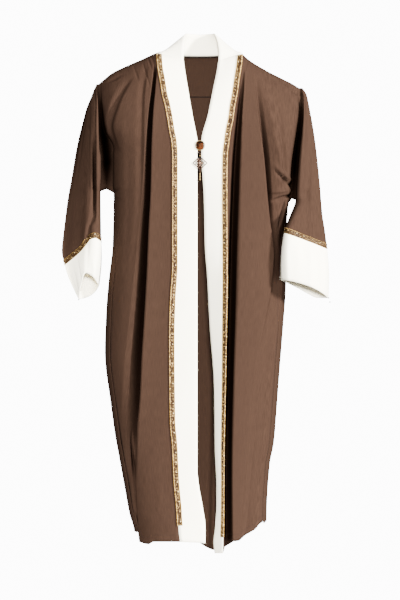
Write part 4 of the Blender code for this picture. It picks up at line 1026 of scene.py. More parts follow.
def press(name, rows, free_end=True):
    """Lay the creases and a slight unevenness into a sheet. Its seams stay where they are."""
    sway = bpy.context.scene.abaya.unevenness
    creases = [Crease(*row) for row in CREASES[name]]
    core_of = core_for(name)
    out = outward(rows, core_of)
    last_row, last = len(rows) - 1, len(rows[0]) - 1
    pressed = []
    for j, row in enumerate(rows):
        core = core_of(row)
        ease_row = held(j / EASE_ROWS) * (1.0 if free_end else held((last_row - j) / EASE_ROWS))
        line = []
        for i, point in enumerate(row):
            x, drop = point.x / CM, -point.z / CM
            front = point.y <= core.y
            rise = sum(crease_rise(c, x, drop) for c in creases if c.front == front)
            uneven = noise.noise(Vector((point.x, point.y, point.z * SWAY_DOWN)) * SWAY_SCALE)
            fine = noise.noise(Vector((point.x, point.y, point.z * FINE_DOWN)) * SWAY_SCALE * FINE_SCALE)
            ease = ease_row * held(min(i, last - i) / EASE_COLUMNS)
            line.append(point + out[j][i] * (rise * CM + (uneven + FINE_SHARE * fine) * sway) * ease)
        pressed.append(line)
    return pressed


def crowned(rows):
    """Puff a folded band slightly between its two edges."""
    out = outward(rows, body_core)
    last = len(rows[0]) - 1
    return [[point + out[j][i] * BAND_CROWN * sin(pi * i / last) for i, point in enumerate(row)]
            for j, row in enumerate(rows)]


def run_along(points):
    """Distance from the first point to each one."""
    run = [0.0]
    for a, b in zip(points, points[1:]):
        run.append(run[-1] + (b - a).length)
    return run


def shares_along(points):
    """How far along a run of points each one lies, from 0 to 1."""
    run = run_along(points)
    return [length / run[-1] for length in run]


def sheet_shape(rows):
    """A grid with a cell for each step of its rows, shaped to them, with its UV map in metres."""
    shape = bmesh.new()
    across, down = len(rows[0]), len(rows)
    bmesh.ops.create_grid(shape, x_segments=across - 1, y_segments=down - 1, size=0.5)
    shape.verts.index_update()
    spans = run_along(rows[down // 2])
    falls = run_along([row[across // 2] for row in rows])
    layer = shape.loops.layers.uv.new("cloth")
    for face in shape.faces:
        for loop in face.loops:
            at = loop.vert.index
            loop[layer].uv = (spans[at % across], -falls[at // across])
    for vert in shape.verts:
        vert.co = rows[vert.index // across][vert.index % across]
    bmesh.ops.remove_doubles(shape, verts=shape.verts, dist=WELD)
    return shape


def object_from(shape, name, finish, smooth=True):
    """Turn a bmesh into an object with its finish."""
    mesh = bpy.data.meshes.new(name)
    shape.to_mesh(mesh)
    shape.free()
    if smooth:
        mesh.shade_smooth()
    mesh.materials.append(looks_of(finish))
    made = bpy.data.objects.new(name, mesh)
    bpy.context.scene.collection.objects.link(made)
    return made


def piece_from(shape, name, finish, body="garment", node=None, smooth=True):
    """Turn a bmesh into a piece on the body that it rides on, in place of a solid node or as an extra."""
    piece = object_from(shape, name, finish, smooth)
    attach(piece, body)
    if node:
        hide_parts(node)
    return piece


def walled(piece, wall):
    """Give a sheet its wall, half of it to each side."""
    shell = piece.modifiers.new("wall", "SOLIDIFY")
    shell.thickness = wall
    shell.offset = 0.0


def sew(node, rows, cloth):
    """One cloth of the garment: its shell and its wall, in place of a solid node."""
    shape = sheet_shape(rows)
    out = outward(rows, core_for(node))
    shape.normal_update()
    middle_row, middle = len(rows) // 2, len(rows[0]) // 2
    target = rows[middle_row][middle]
    nearest = min(shape.faces, key=lambda face: (face.calc_center_median() - target).length)
    if nearest.normal.dot(out[middle_row][middle]) < 0.0:
        bmesh.ops.reverse_faces(shape, faces=shape.faces)
    piece = piece_from(shape, node + "_cloth", cloth, node=node)
    walled(piece, getattr(bpy.context.scene.abaya, cloth + "_wall"))
    return piece


def strewn(unit, spots):
    """Copies of one small shape, one at each spot, in one bmesh."""
    pattern = bpy.data.meshes.new("unit")
    unit.to_mesh(pattern)
    unit.free()
    shape = bmesh.new()
    for spot in spots:
        copy = pattern.copy()
        copy.transform(spot)
        shape.from_mesh(copy)
        bpy.data.meshes.remove(copy)
    bpy.data.meshes.remove(pattern)
    return shape


def tube(points, radius, sides, twist=0.0, lay=0.0):
    """A round cord along points. A twist turns its ridges once in that many metres."""
    last = len(points) - 1
    run = run_along(points)
    rows = []
    side = None
    for k, point in enumerate(points):
        course = (points[min(k + 1, last)] - points[max(k - 1, 0)]).normalized()
        if side is None:
            side = course.cross(Vector((0.0, 1.0, 0.0)))
            side = side if side.length > LEAST_SIDE else course.cross(Vector((1.0, 0.0, 0.0)))
        side = (side - course * side.dot(course)).normalized()
        up = course.cross(side)
        ring = []
        for n in range(sides + 1):
            turn = 2 * pi * (n % sides) / sides
            swell = 1.0 + lay * cos(2 * (turn - 2 * pi * run[k] / twist)) if twist else 1.0
            ring.append(point + (side * cos(turn) + up * sin(turn)) * radius * swell)
        rows.append(ring)
    shape = sheet_shape(rows)
    bmesh.ops.holes_fill(shape, edges=[edge for edge in shape.edges if edge.is_boundary])
    bmesh.ops.recalc_face_normals(shape, faces=shape.faces)
    return shape


def stood(centre, along_line, out):
    """A frame for a small part: its X runs along a line, its Z points out."""
    up = out.normalized()
    course = (along_line - up * along_line.dot(up)).normalized()
    return Matrix.Translation(centre) @ Matrix((course, up.cross(course), up)).transposed().to_4x4()


def even_spots(points, step):
    """Spots at even steps along a run of points: the number of a step of it, and the share of that."""
    run = run_along(points)
    count = max(int(run[-1] / step), 1)
    spots, k = [], 0
    for n in range(count + 1):
        goal = run[-1] * n / count
        while k < len(points) - 2 and run[k + 1] < goal:
            k += 1
        span = max(run[k + 1] - run[k], LEAST_SPAN)
        spots.append((k, held((goal - run[k]) / span)))
    return spots


# Laying out

SIDES = {"right": RIGHT, "left": LEFT}
FOLDS = {"right": RIGHT_FOLDS, "left": LEFT_FOLDS}
SLEEVES = {"right": RIGHT_SLEEVE, "left": LEFT_SLEEVE}
CUFFS = {"right": RIGHT_CUFF, "left": LEFT_CUFF}
BAND_EDGES = {"right": RIGHT_BAND_EDGE, "left": LEFT_BAND_EDGE}
LAID = {}


def lay_out():
    """Every sheet's rows of points, worked out once: panels, sleeves, cuffs, bands and braids."""
    if LAID:
        return LAID
    back = back_rows()
    neck = neck_rows([point.copy() for point in back[0]])
    for row in neck:
        row[0] -= (row[1] - row[0]).normalized() * NECK_LAP
    for name, side in SIDES.items():
        sign = side["sign"]
        rows = front_rows(side, FOLDS[name])
        seam = [row[0].copy() for row in rows]
        band = band_rows(seam, BAND_EDGES[name])
        outer = BRAID_WIDTH / 2 - BRAID_OFFSET * CM
        braid = strip_rows(seam[::-sign], [row[1] for row in rows][::-sign],
                           [row[1] for row in band][::-sign], outer, BRAID_WIDTH - outer, TRIM_LIFT)
        sleeve = sleeve_rows(side, SLEEVES[name], CUFFS[name])
        cuff = cuff_rows(side, SLEEVES[name], CUFFS[name], [point.copy() for point in sleeve[-1]])
        trim = strip_rows(sleeve[-1][::-sign], sleeve[-2][::-sign], cuff[1][::-sign],
                          BRAID_WIDTH / 2, BRAID_WIDTH / 2, TRIM_LIFT, True)
        LAID["front_" + name] = lapped(tucked(press("front_" + name, rows), side), 0.0)
        LAID["band_" + name] = press("band_" + name, crowned(band))
        LAID["braid_" + name] = braid[BRAID_TRIM:-BRAID_TRIM]
        LAID["sleeve_" + name] = headed(tucked(press("sleeve_" + name, sleeve, False), side))
        LAID["cuff_" + name] = press("cuff_" + name, cuff)
        LAID["cuff_braid_" + name] = trim
    LAID["back"] = lapped(press("back", back), SHOULDER_DROP)
    neck = press("band_neck", crowned(neck), False)
    LAID["band_neck"] = joined_neck(neck, LAID["band_right"], LAID["band_left"])
    flat = on_cloth(neck[NECK_TRIM:-NECK_TRIM], NECK_BRAID_RISE, BRAID_WIDTH)
    LAID["braid_neck"] = [[a, (a + b) / 2, b] for a, b in flat]
    return LAID


def lapped(rows, drop):
    """Run a panel's top edge on past the shoulder line, just under the panel that it is sewn to."""
    first = [point.copy() for point in rows[0]]
    for i, point in enumerate(rows[0]):
        if NECK_HALF_WIDTH * CM < abs(point.x) < SHOULDER_LAP_END:
            course = (point - rows[1][i]).normalized()
            first[i] += course * SHOULDER_LAP - Vector((0.0, 0.0, drop))
    return [first] + rows


def headed(rows):
    """Draw a sleeve's open head together over its top edge."""
    closing = [[Vector((point.x, point.y * width, point.z + rise)) for point in rows[0]]
               for width, rise in HEAD_STEPS]
    return closing + rows


def joined_neck(neck, right, left):
    """The neck band with both its ends tucked under the front bands."""
    ends = []
    for band in (right, left):
        out = outward(band, body_core)[NECK_TUCK]
        ends.append([point - away * TUCK_DEPTH for point, away in zip(band[NECK_TUCK], out)])
    return [ends[0]] + neck + [ends[1]]


def cut_and_hang(name, cloth):
    """Make one of the laid-out cloths."""
    rows = lay_out()[name]
    piece = sew(name, rows, cloth)


# Braid

def ribbon_point(strip, outs, spot, across, lift):
    """A place on a braid: its spot along it, -1 to 1 across it, and how high above its ground."""
    k, share = spot
    a, ridge, b = (strip[k][n].lerp(strip[k + 1][n], share) for n in range(3))
    out = outs[k][1].lerp(outs[k + 1][1], share).normalized()
    edge = a if across < 0.0 else b
    dome = BRAID_DOME * (1.0 - across * across)
    course = (strip[k + 1][1] - strip[k][1]).normalized()
    return ridge + (edge - ridge) * abs(across) + out * (dome + lift), course, out


def braid_pieces(node):
    """One length of sequin braid: its ground, two twisted edge cords, beads in a zigzag, sequins."""
    strip = LAID[node]
    outs = outward(strip, core_for(node))
    middle = [row[1] for row in strip]

    def on_braid(spot, across, lift):
        return ribbon_point(strip, outs, spot, across, lift)

    rows = []
    for k in range(len(strip)):
        spot = (min(k, len(strip) - 2), 1.0 if k == len(strip) - 1 else 0.0)
        rows.append([on_braid(spot, -1.0 + 2.0 * n / BRAID_COLUMNS, 0.0)[0]
                     for n in range(BRAID_COLUMNS + 1)])
    ground = piece_from(sheet_shape(rows), node + "_ground", "ribbon", node=node)
    walled(ground, BRAID_GROUND_WALL)

    fine = even_spots(middle, CORD_STEP)
    for number, across in enumerate((-CORD_ACROSS, CORD_ACROSS)):
        path = [on_braid(spot, across, CORD_RADIUS * CORD_RAISED)[0] for spot in fine]
        piece_from(tube(path, CORD_RADIUS, CORD_SIDES, CORD_TWIST, CORD_LAY), f"{node}_cord_{number + 1}",
                   "gimp")

    radius = bpy.context.scene.abaya.bead_size / 2
    beads, flashes, stones = zigzag(middle, on_braid, radius)
    piece_from(strewn(ball(radius, 1), beads), node + "_beads", "sequin")
    for part, cut, spots, finish in (("_sequins", SEQUIN_CUT, flashes, "sequin"),
                                     ("_stones", STONE_CUT, stones, "spangle")):
        piece_from(strewn(faceted(radius, cut), spots), node + part, finish, smooth=False)


def zigzag(middle, on_braid, radius):
    """Places of a braid's beads in a zigzag, and of the sequins and stones in its corners."""
    beads, flashes, stones = [], [], []
    steps = max(int(ZIGZAG_REACH * BRAID_WIDTH / (radius * BEAD_SPACING)), 2)
    run = run_along(middle)
    count = len(even_spots(middle, bpy.context.scene.abaya.cell_length / 2)) - 1
    for n in range(count):
        hand = 1 if n % 2 == 0 else -1
        for step in range(steps):
            share = step / steps
            goal = run[-1] * (n + share) / count
            k = next(i for i in range(len(run) - 1) if run[i + 1] >= goal or i == len(run) - 2)
            spot = (k, held((goal - run[k]) / max(run[k + 1] - run[k], LEAST_SPAN)))
            across = ZIGZAG_REACH * (1.0 - 2.0 * share) * hand
            spot_at, course, out = on_braid(spot, across, radius * BEAD_RAISED)
            beads.append(stood(spot_at, course, out))
            if step == steps // 2:
                corner = ZIGZAG_REACH * CORNER_REACH * -hand
                opposite = stones if n % STONE_EVERY == 1 else flashes
                for here, kept in ((corner, flashes), (-corner, opposite)):
                    spot_at, course, out = on_braid(spot, here, radius * SEQUIN_RAISED)
                    tilt = noise.noise(spot_at * TILT_SCALE) * SEQUIN_TILT
                    kept.append(stood(spot_at, course, out) @ Matrix.Rotation(tilt, 4, "X"))
    return beads, flashes, stones


def ball(radius, subdivisions=2):
    """A small round bead."""
    shape = bmesh.new()
    bmesh.ops.create_icosphere(shape, subdivisions=subdivisions, radius=radius)
    return shape


def faceted(radius, cut, turn=Matrix.Identity(4)):
    """A sequin or stone of this cut."""
    sides, back, front, depth = cut
    shape = bmesh.new()
    bmesh.ops.create_cone(shape, cap_ends=True, cap_tris=True, segments=sides, radius1=radius * back,
                          radius2=radius * front, depth=radius * depth, matrix=turn)
    return shape


# Sewing

def stitches(name, lines, kind):
    """Stitches of one kind laid along lines of (point, out) pairs."""
    spots = []
    for line in lines:
        points = [point for point, _ in line]
        for k, share in even_spots(points, kind.pitch):
            point = points[k].lerp(points[k + 1], share)
            out = line[k][1].lerp(line[k + 1][1], share)
            spots.append(stood(point + out * kind.lift, points[k + 1] - points[k], out))
    unit = bmesh.new()
    radius = SERGING_RADIUS if kind.height else bpy.context.scene.abaya.thread_radius
    bmesh.ops.create_cone(unit, cap_ends=True, segments=STITCH_SIDES, radius1=radius, radius2=radius,
                          depth=kind.height or kind.pitch * STITCH_SHARE,
                          matrix=FACING if kind.height else EDGE_ON)
    piece_from(strewn(unit, spots), name, kind.finish)


def side_line(rows, outs):
    """A line down a panel below the underarm, a few columns in from its side edge."""
    column = len(rows[0]) - 1 - SIDE_LINE_COLUMNS
    return [(rows[j][column], outs[j][column]) for j in range(ROWS_TO_ARM + 1, len(rows))]


def hem_line(rows, outs, rise=HEM_RISE):
    """A line that runs across a sheet this far above its hem."""
    line = []
    for i in range(len(rows[0])):
        left, j = rise, len(rows) - 1
        while j > 1 and (rows[j][i] - rows[j - 1][i]).length < left:
            left -= (rows[j][i] - rows[j - 1][i]).length
            j -= 1
        step = (rows[j][i] - rows[j - 1][i]).length
        line.append((rows[j][i].lerp(rows[j - 1][i], left / max(step, LEAST_SPAN)), outs[j][i]))
    return line


def facing_line(rows, outs):
    """The edge of the neck facing, across the inside of the back."""
    line = []
    for i in range(len(rows[0])):
        row = max(j for j in range(len(rows) - 1) if rows[j][i].z > -FACING_DROP)
        above, below = rows[row][i], rows[row + 1][i]
        point = above.lerp(below, (above.z + FACING_DROP) / (above.z - below.z))
        if abs(point.x) < FACING_REACH:
            line.append((point, -outs[row][i]))
    return line


def edge_line(rows, outs):
    """A line that runs down a band just in from its free edge."""
    line = []
    for row, out in zip(rows, outs):
        share = held(BAND_INSET / max((row[-1] - row[0]).length, LEAST_SPAN))
        line.append((row[-1].lerp(row[0], share), out[-2]))
    return line


def neck_line(rows, outs):
    """The seam of the neck band, across the inside of the back."""
    return [(row[0], -out[1]) for row, out in zip(rows, outs)
            if row[0].y > 0.0 and abs(row[0].x) < SERGED_REACH]


# Jewel

def middle_of(node):
    """The middle of a solid node's box."""
    low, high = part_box(node)
    return (Vector(low) + Vector(high)) / 2


def turned_part(profile, steps=TURN_STEPS):
    """A part turned about its Z axis from half its outline, from its back to its front."""
    shape = bmesh.new()
    spots = [shape.verts.new((radius, 0.0, height)) for radius, height in profile]
    edges = [shape.edges.new((a, b)) for a, b in zip(spots, spots[1:])]
    bmesh.ops.spin(shape, geom=spots + edges, cent=(0, 0, 0), axis=(0, 0, 1), dvec=(0, 0, 0),
                   angle=2 * pi, steps=steps, use_merge=True, use_duplicate=False)
    bmesh.ops.remove_doubles(shape, verts=shape.verts, dist=WELD)
    bmesh.ops.recalc_face_normals(shape, faces=shape.faces)
    return shape


def wire_ring(radius, wire, steps=TURN_STEPS, sides=WIRE_SIDES):
    """A ring of round wire about its Z axis."""
    profile = [(radius + wire * cos(2 * pi * n / sides), wire * sin(2 * pi * n / sides))
               for n in range(sides + 1)]
    return turned_part(profile, steps)


def set_down(shape, centre, turn=Matrix.Identity(4)):
    """Turn a part to face the way it hangs and move it to its place."""
    bmesh.ops.transform(shape, matrix=Matrix.Translation(centre) @ turn, verts=shape.verts)
    return shape


def merged(shapes):
    """Several shapes as one."""
    whole = bmesh.new()
    for shape in shapes:
        part = bpy.data.meshes.new("part")
        shape.to_mesh(part)
        shape.free()
        whole.from_mesh(part)
        bpy.data.meshes.remove(part)
    return whole


def fit_jewel(name, shape, finish, body, node=None, smooth=True):
    """A part of the jewel, in its metal or its resin."""
    piece_from(shape, name, finish, body, node, smooth)


def fit_ring(name, body, node, radius, wire, turn, steps=EYE_STEPS):
    """A wire ring of the jewel where its node is."""
    fit_jewel(name, set_down(wire_ring(radius, wire, steps), middle_of(node), turn), "plated", body, node)


def make_button():
    """The domed resin button in its bezel of grains, and the loop under it."""
    seat = Vector((middle_of("button").x, -BUTTON_BACK_DEPTH, middle_of("button").z))
    dome = [(BUTTON_RADIUS * out, BUTTON_EDGE * up) for out, up in BUTTON_BACK]
    for n in range(DOME_STEPS):
        turn = pi / 2 * n / DOME_STEPS
        dome.append((BUTTON_RADIUS * cos(turn) ** BUTTON_FULLNESS, BUTTON_EDGE + BUTTON_DOME * sin(turn)))
    dome.append((0.0, BUTTON_EDGE + BUTTON_DOME))
    fit_jewel("button_dome", set_down(turned_part(dome), seat, FACING), "resin", "garment", "button")

    ring_seat = seat - Vector((0.0, BUTTON_EDGE, 0.0))
    radius = BUTTON_RADIUS + SEAM_GAP + RIM_WIRE
    out = Matrix.Translation((radius, 0, RIM_WIRE))
    spots = [Matrix.Rotation(2 * pi * n / BEZEL_GRAINS, 4, "Z") @ out for n in range(BEZEL_GRAINS)]
    rim = merged([wire_ring(radius, RIM_WIRE), strewn(ball(RIM_WIRE * GRAIN_SHARE), spots)])
    fit_jewel("button_bezel", set_down(rim, ring_seat, FACING), "gilt", "garment", "button_rim")
    fit_ring("button_loop", "garment", "loop", LOOP_RADIUS, LOOP_WIRE, FACING, LOOP_STEPS)


def make_pendant():
    """The openwork lozenge with its scrolls, stones and dark arms, and the ring at its tip."""
    centre = middle_of("pendant_frame")
    fit_ring("pendant_top_eye", "pendant", "pendant_eye", EYE_RADIUS, EYE_WIRE, EDGE_ON)
    fit_jewel("pendant_top_bead", set_down(ball(PENDANT_BEAD), middle_of("pendant_bead")), "gilt",
              "pendant", "pendant_bead", smooth=False)

    def at(across, up, lift=0.0):
        return centre + Vector((across * PENDANT_HALF_WIDTH, -lift, up * PENDANT_HALF_HEIGHT))

    def wire(corners, thick, lift=0.0, steps=6):
        path = []
        for a, b in zip(corners, corners[1:]):
            path += [at(*a, lift).lerp(at(*b, lift), n / steps) for n in range(steps)]
        return tube(path + [at(*corners[-1], lift)], thick, BAR_SIDES)

    out, up = SHOULDER
    work = [wire([(0.0, -1.0), (side, 0.0), (side * out, up)], PENDANT_BAR) for side in (-1.0, 1.0)]
    work += [wire([(0.0, -INNER_LOZENGE), (side * INNER_LOZENGE, 0.0), (0.0, INNER_LOZENGE)], INNER_BAR,
                  INNER_LIFT) for side in (-1.0, 1.0)]
    for turn in range(SCROLLS):
        angle = 2 * pi * turn / SCROLLS
        reach = 1.0 / (abs(cos(angle)) + abs(sin(angle)))
        for hand in (-1, 1):
            path = []
            for n in range(SCROLL_STEPS):
                share = n / (SCROLL_STEPS - 1)
                curl = hand * (SCROLL_START + SCROLL_CURL * share)
                size = SCROLL_SIZE * (1.0 - SCROLL_SHRINK * share)
                path.append(at(SCROLL_REACH * reach * cos(angle) + size * cos(angle + curl),
                               SCROLL_REACH * reach * sin(angle) + size * sin(angle + curl), SCROLL_LIFT))
            work.append(tube(path, SCROLL_WIRE, SCROLL_SIDES))
    fit_jewel("pendant_openwork", merged(work), "plated", "pendant", "pendant_frame")
    arms = [wire([(side * out, up), (0.0, 1.0)], ARM_BAR, ARM_LIFT) for side in (-1.0, 1.0)]
    fit_jewel("pendant_dark_arms", merged(arms), "dark_metal", "pendant")

    spots = list(MIDDLE_STONES)
    for share in SIDE_STONES:
        for across, rise in ((1, 1), (1, -1), (-1, 1), (-1, -1)):
            spots.append((across * SIDE_STONE_REACH * share, rise * SIDE_STONE_REACH * (1.0 - share),
                          SIDE_STONE_SIZE))
    places = [Matrix.Translation(at(across, rise, STONE_LIFT)) @ Matrix.Scale(size, 4)
              for across, rise, size in spots]
    stone = faceted(STONE_RADIUS, CRYSTAL_CUT, FACING)
    fit_jewel("pendant_stones", strewn(stone, places), "crystal", "pendant", smooth=False)
    fit_ring("pendant_tip_ring", "pendant", "pendant_tip", TIP_RADIUS, TIP_WIRE, FACING)


def make_tail():
    """The tail of gilt beads on its eye, each bead with a ring at both ends."""
    fit_ring("tail_top_eye", "tail", "tail_eye", EYE_RADIUS, EYE_WIRE, EDGE_ON)
    for number, radius in enumerate(TAIL_BEADS):
        node = f"tail_bead_{number + 1}"
        height = radius * TAIL_BEAD_HEIGHT
        turns = [pi * n / TAIL_BEAD_STEPS for n in range(1, TAIL_BEAD_STEPS)]
        profile = [(radius * sin(turn), -height * cos(turn)) for turn in turns]
        bead = turned_part([(0.0, -height)] + profile + [(0.0, height)], TAIL_BEAD_SIDES)
        caps = [set_down(wire_ring(radius * CAP_RADIUS, radius * CAP_WIRE, CAP_STEPS, CAP_SIDES),
                         Vector((0, 0, end * height * CAP_PLACE))) for end in (-1, 1)]
        fit_jewel(f"tail_drop_{number + 1}", set_down(merged([bead] + caps), middle_of(node)), "gilt",
                  "tail", node)


def make_cuff_beads():
    """Small dark beads at the corners of the cuffs."""
    spots = [Matrix.Translation(place(*spot)) for spot in CUFF_BEADS]
    fit_jewel("cuff_corner_beads", strewn(ball(CUFF_BEAD), spots), "dark_metal", "garment")


# Finishes

MULTIPLIED = {"data_type": "RGBA", "blend_type": "MULTIPLY"}


def hex_colour(code, alpha=1.0):
    """An sRGB hex colour such as "#6b4a3e" as linear values."""
    channels = [int(code[k:k + 2], 16) / 255 for k in (1, 3, 5)]
    return tuple(c / 12.92 if c <= 0.04045 else ((c + 0.055) / 1.055) ** 2.4 for c in channels) + (alpha,)


def add(tree, kind, inputs=None, stops=(), **settings):
    """Add a node with its settings and its stops, colours or hex codes, and set or link its inputs."""
    node = tree.nodes.new(kind)
    for name, value in settings.items():
        setattr(node, name, value)
    for number, (spot, colour) in enumerate(stops):
        node.color_ramp.elements[number].position = spot
        node.color_ramp.elements[number].color = hex_colour(colour) if isinstance(colour, str) else colour
    for name, value in (inputs or {}).items():
        if isinstance(value, bpy.types.NodeSocket):
            tree.links.new(value, node.inputs[name])
        else:
            node.inputs[name].default_value = value
    return node


def surface(name, **sockets):
    """A new material with a Principled shader whose constant sockets are set here."""
    finish = bpy.data.materials.new(name)
    finish.use_nodes = True
    tree = finish.node_tree
    shader = tree.nodes["Principled BSDF"]
    for socket, value in sockets.items():
        shader.inputs[socket.replace("_", " ")].default_value = value
    return finish, tree, shader


def shade(colour, amount):
    """A colour made darker or lighter."""
    return tuple(min(channel * amount, 1.0) for channel in colour[:3]) + (1.0,)


def finished(finish, tree, shader, tone, height=None, strength=0.0, distance=0.0):
    """Link a finish's colour to its shader, and its relief where it has one."""
    tree.links.new(tone, shader.inputs["Base Color"])
    if height is not None:
        bump = add(tree, "ShaderNodeBump", {"Height": height, "Strength": strength, "Distance": distance})
        tree.links.new(bump.outputs["Normal"], shader.inputs["Normal"])
    return finish


def patterned(name, inputs, stops, kind="ShaderNodeTexNoise", output="Fac", **sockets):
    """A finish whose colour follows one pattern."""
    finish, tree, shader = surface(name, **sockets)
    spot = add(tree, "ShaderNodeTexCoord").outputs["Object"]
    pattern = add(tree, kind, {"Vector": spot, **inputs}).outputs[output]
    tone = add(tree, "ShaderNodeValToRGB", {"Fac": pattern}, stops=stops).outputs["Color"]
    return finished(finish, tree, shader, tone)


def satin():
    # Polyester crepe-back satin, piece-dyed: float yarns along the warp give fine upright lines and
    # an even, soft tone. The yarns are 0.15 mm apart and are drawn 0.8 mm apart, to show.
    base = bpy.context.scene.abaya.satin_colour
    finish, tree, shader = surface("brown_satin", Roughness=0.6, Specular_IOR_Level=0.0)
    cloth = add(tree, "ShaderNodeUVMap", uv_map="cloth").outputs["UV"]
    fine = add(tree, "ShaderNodeMapping", {"Vector": cloth, "Scale": (1.0, 0.03, 1.0)}).outputs["Vector"]
    broad = add(tree, "ShaderNodeMapping", {"Vector": cloth, "Scale": (1.0, 0.2, 1.0)}).outputs["Vector"]
    yarn = add(tree, "ShaderNodeTexNoise", {"Vector": fine, "Scale": 1300.0, "Detail": 2.0}).outputs["Fac"]
    slub = add(tree, "ShaderNodeTexNoise", {"Vector": broad, "Scale": 70.0, "Detail": 3.0}).outputs["Fac"]
    threads = add(tree, "ShaderNodeValToRGB", {"Fac": yarn},
                  stops=((0.36, shade(base, 0.86)), (0.64, shade(base, 1.14)))).outputs["Color"]
    cloudy = add(tree, "ShaderNodeValToRGB", {"Fac": slub},
                 stops=((0.3, (0.97, 0.97, 0.97, 1.0)), (0.7, (1.03, 1.03, 1.02, 1.0)))).outputs["Color"]
    cloth_tone = add(tree, "ShaderNodeMix", {0: 1.0, 6: threads, 7: cloudy}, **MULTIPLIED).outputs[2]
    # Painted shade: an occlusion mask darkens the colour in folds, recesses and between parts, to nearly
    # black.
    fold_shade_mask = add(tree, "ShaderNodeAmbientOcclusion", {"Distance": FOLD_SHADE_REACH}, samples=12).outputs["AO"]
    painted_fold_shade = add(tree, "ShaderNodeValToRGB", {"Fac": fold_shade_mask},
               stops=((0.28, (0.16, 0.14, 0.13, 1.0)), (0.66, (1.0, 1.0, 1.0, 1.0)))).outputs["Color"]
    cloth_tone = add(tree, "ShaderNodeMix", {0: 1.0, 6: cloth_tone, 7: painted_fold_shade}, **MULTIPLIED).outputs[2]
    return finished(finish, tree, shader, cloth_tone, yarn, 0.22, 0.0004)


def crepe():
    # Matt polyester crepe in cream: over-twisted yarns leave a fine pebbled crinkle, which keeps the
    # light even; pebbles 0.4 mm apart are drawn 1.2 mm apart.
    base = bpy.context.scene.abaya.crepe_colour
    finish, tree, shader = surface("cream_crepe", Roughness=0.82, Specular_IOR_Level=0.25,
                                   Sheen_Weight=0.12, Sheen_Roughness=0.6)
    cloth = add(tree, "ShaderNodeUVMap", uv_map="cloth").outputs["UV"]
    broad = add(tree, "ShaderNodeMapping", {"Vector": cloth, "Scale": (1.0, 0.3, 1.0)}).outputs["Vector"]
    pebble = add(tree, "ShaderNodeTexNoise", {"Vector": cloth, "Scale": 850.0, "Detail": 2.0})
    pebble = pebble.outputs["Fac"]
    drift = add(tree, "ShaderNodeTexNoise", {"Vector": broad, "Scale": 26.0, "Detail": 2.0}).outputs["Fac"]
    grain = add(tree, "ShaderNodeValToRGB", {"Fac": pebble},
                stops=((0.35, shade(base, 0.95)), (0.65, shade(base, 1.02)))).outputs["Color"]
    cloudy = add(tree, "ShaderNodeValToRGB", {"Fac": drift},
                 stops=((0.3, (0.965, 0.96, 0.94, 1.0)), (0.7, (1.0, 1.0, 1.0, 1.0)))).outputs["Color"]
    cloth_tone = add(tree, "ShaderNodeMix", {0: 1.0, 6: grain, 7: cloudy}, **MULTIPLIED).outputs[2]
    return finished(finish, tree, shader, cloth_tone, pebble, 0.18, 0.0003)


def ribbon():
    # Lurex braid ground: dark brown thread woven with a little gold foil, in cells 2 mm across.
    finish, tree, shader = surface("lurex_ground", Roughness=0.6, Specular_IOR_Level=0.05)
    cloth = add(tree, "ShaderNodeUVMap", uv_map="cloth").outputs["UV"]
    weave = add(tree, "ShaderNodeTexVoronoi", {"Vector": cloth, "Scale": 520.0}).outputs["Distance"]
    tone = add(tree, "ShaderNodeValToRGB", {"Fac": weave},
               stops=((0.1, "#3a2814"), (0.75, "#160d06"))).outputs["Color"]
    return finished(finish, tree, shader, tone, weave, 0.5, 0.0004)


def gimp():
    # Twisted gold gimp cord: foil wound on a core, with painted highlight and shade on the ridges of its
    # slanted lay. A lay of 1.5 mm is drawn 2.8 mm apart, to show.
    return patterned("gold_gimp", {"Scale": 420.0, "Detail": 1.0}, ((0.36, "#4a3315"), (0.62, "#b08c4c")),
                     Metallic=0.3, Roughness=0.5, Specular_IOR_Level=0.08)


def sequin():
    # Plated PET sequins: their flashes of light are painted in, pale gold on one patch and dark bronze
    # on the next, for the changing tilt. Each patch of one tone is drawn 5 mm across, to show.
    finish, tree, shader = surface("gold_sequin", Metallic=0.3, Roughness=0.5,
                                   Specular_IOR_Level=0.08)
    spot = add(tree, "ShaderNodeTexCoord").outputs["Object"]
    patch = add(tree, "ShaderNodeVectorMath", {0: spot, 1: (0.005, 0.005, 0.005)}, operation="SNAP")
    # Painted flashes: each 5 mm patch gets a random tone from near-black to pale gold.
    painted_flash = add(tree, "ShaderNodeTexWhiteNoise", {"Vector": patch.outputs["Vector"]}).outputs["Value"]
    tone = add(tree, "ShaderNodeValToRGB", {"Fac": painted_flash},
               stops=((0.3, "#1c1108"), (0.8, "#ab8a55"))).outputs["Color"]
    return finished(finish, tree, shader, tone)


def spangle():
    # Pale gold foil spangles with a fine facet: their noise up to nearly white is a painted flash of light.
    return patterned("pale_spangle", {"Scale": 600.0}, ((0.4, "#b08b52"), (0.6, "#f0d9a4")),
                     Metallic=0.2, Roughness=0.4, Specular_IOR_Level=0.2)


def plated():
    # Rose-gold plate on cast zinc, aged to a deep brown, with darker metal left in the low places.
    return patterned("rose_gold_plate", {"Scale": 420.0, "Detail": 3.0},
                     ((0.35, "#120a05"), (0.6, "#2e1b0e")),
                     Metallic=0.15, Roughness=0.45, Specular_IOR_Level=0.1)


def gilt():
    # Yellow-gold wash on small cast beads, a little matt, browner where it has rubbed thin.
    return patterned("gilt_bead", {"Scale": 600.0, "Detail": 2.0}, ((0.35, "#3a2a12"), (0.6, "#6e5a38")),
                     Metallic=0.2, Roughness=0.4, Specular_IOR_Level=0.15)


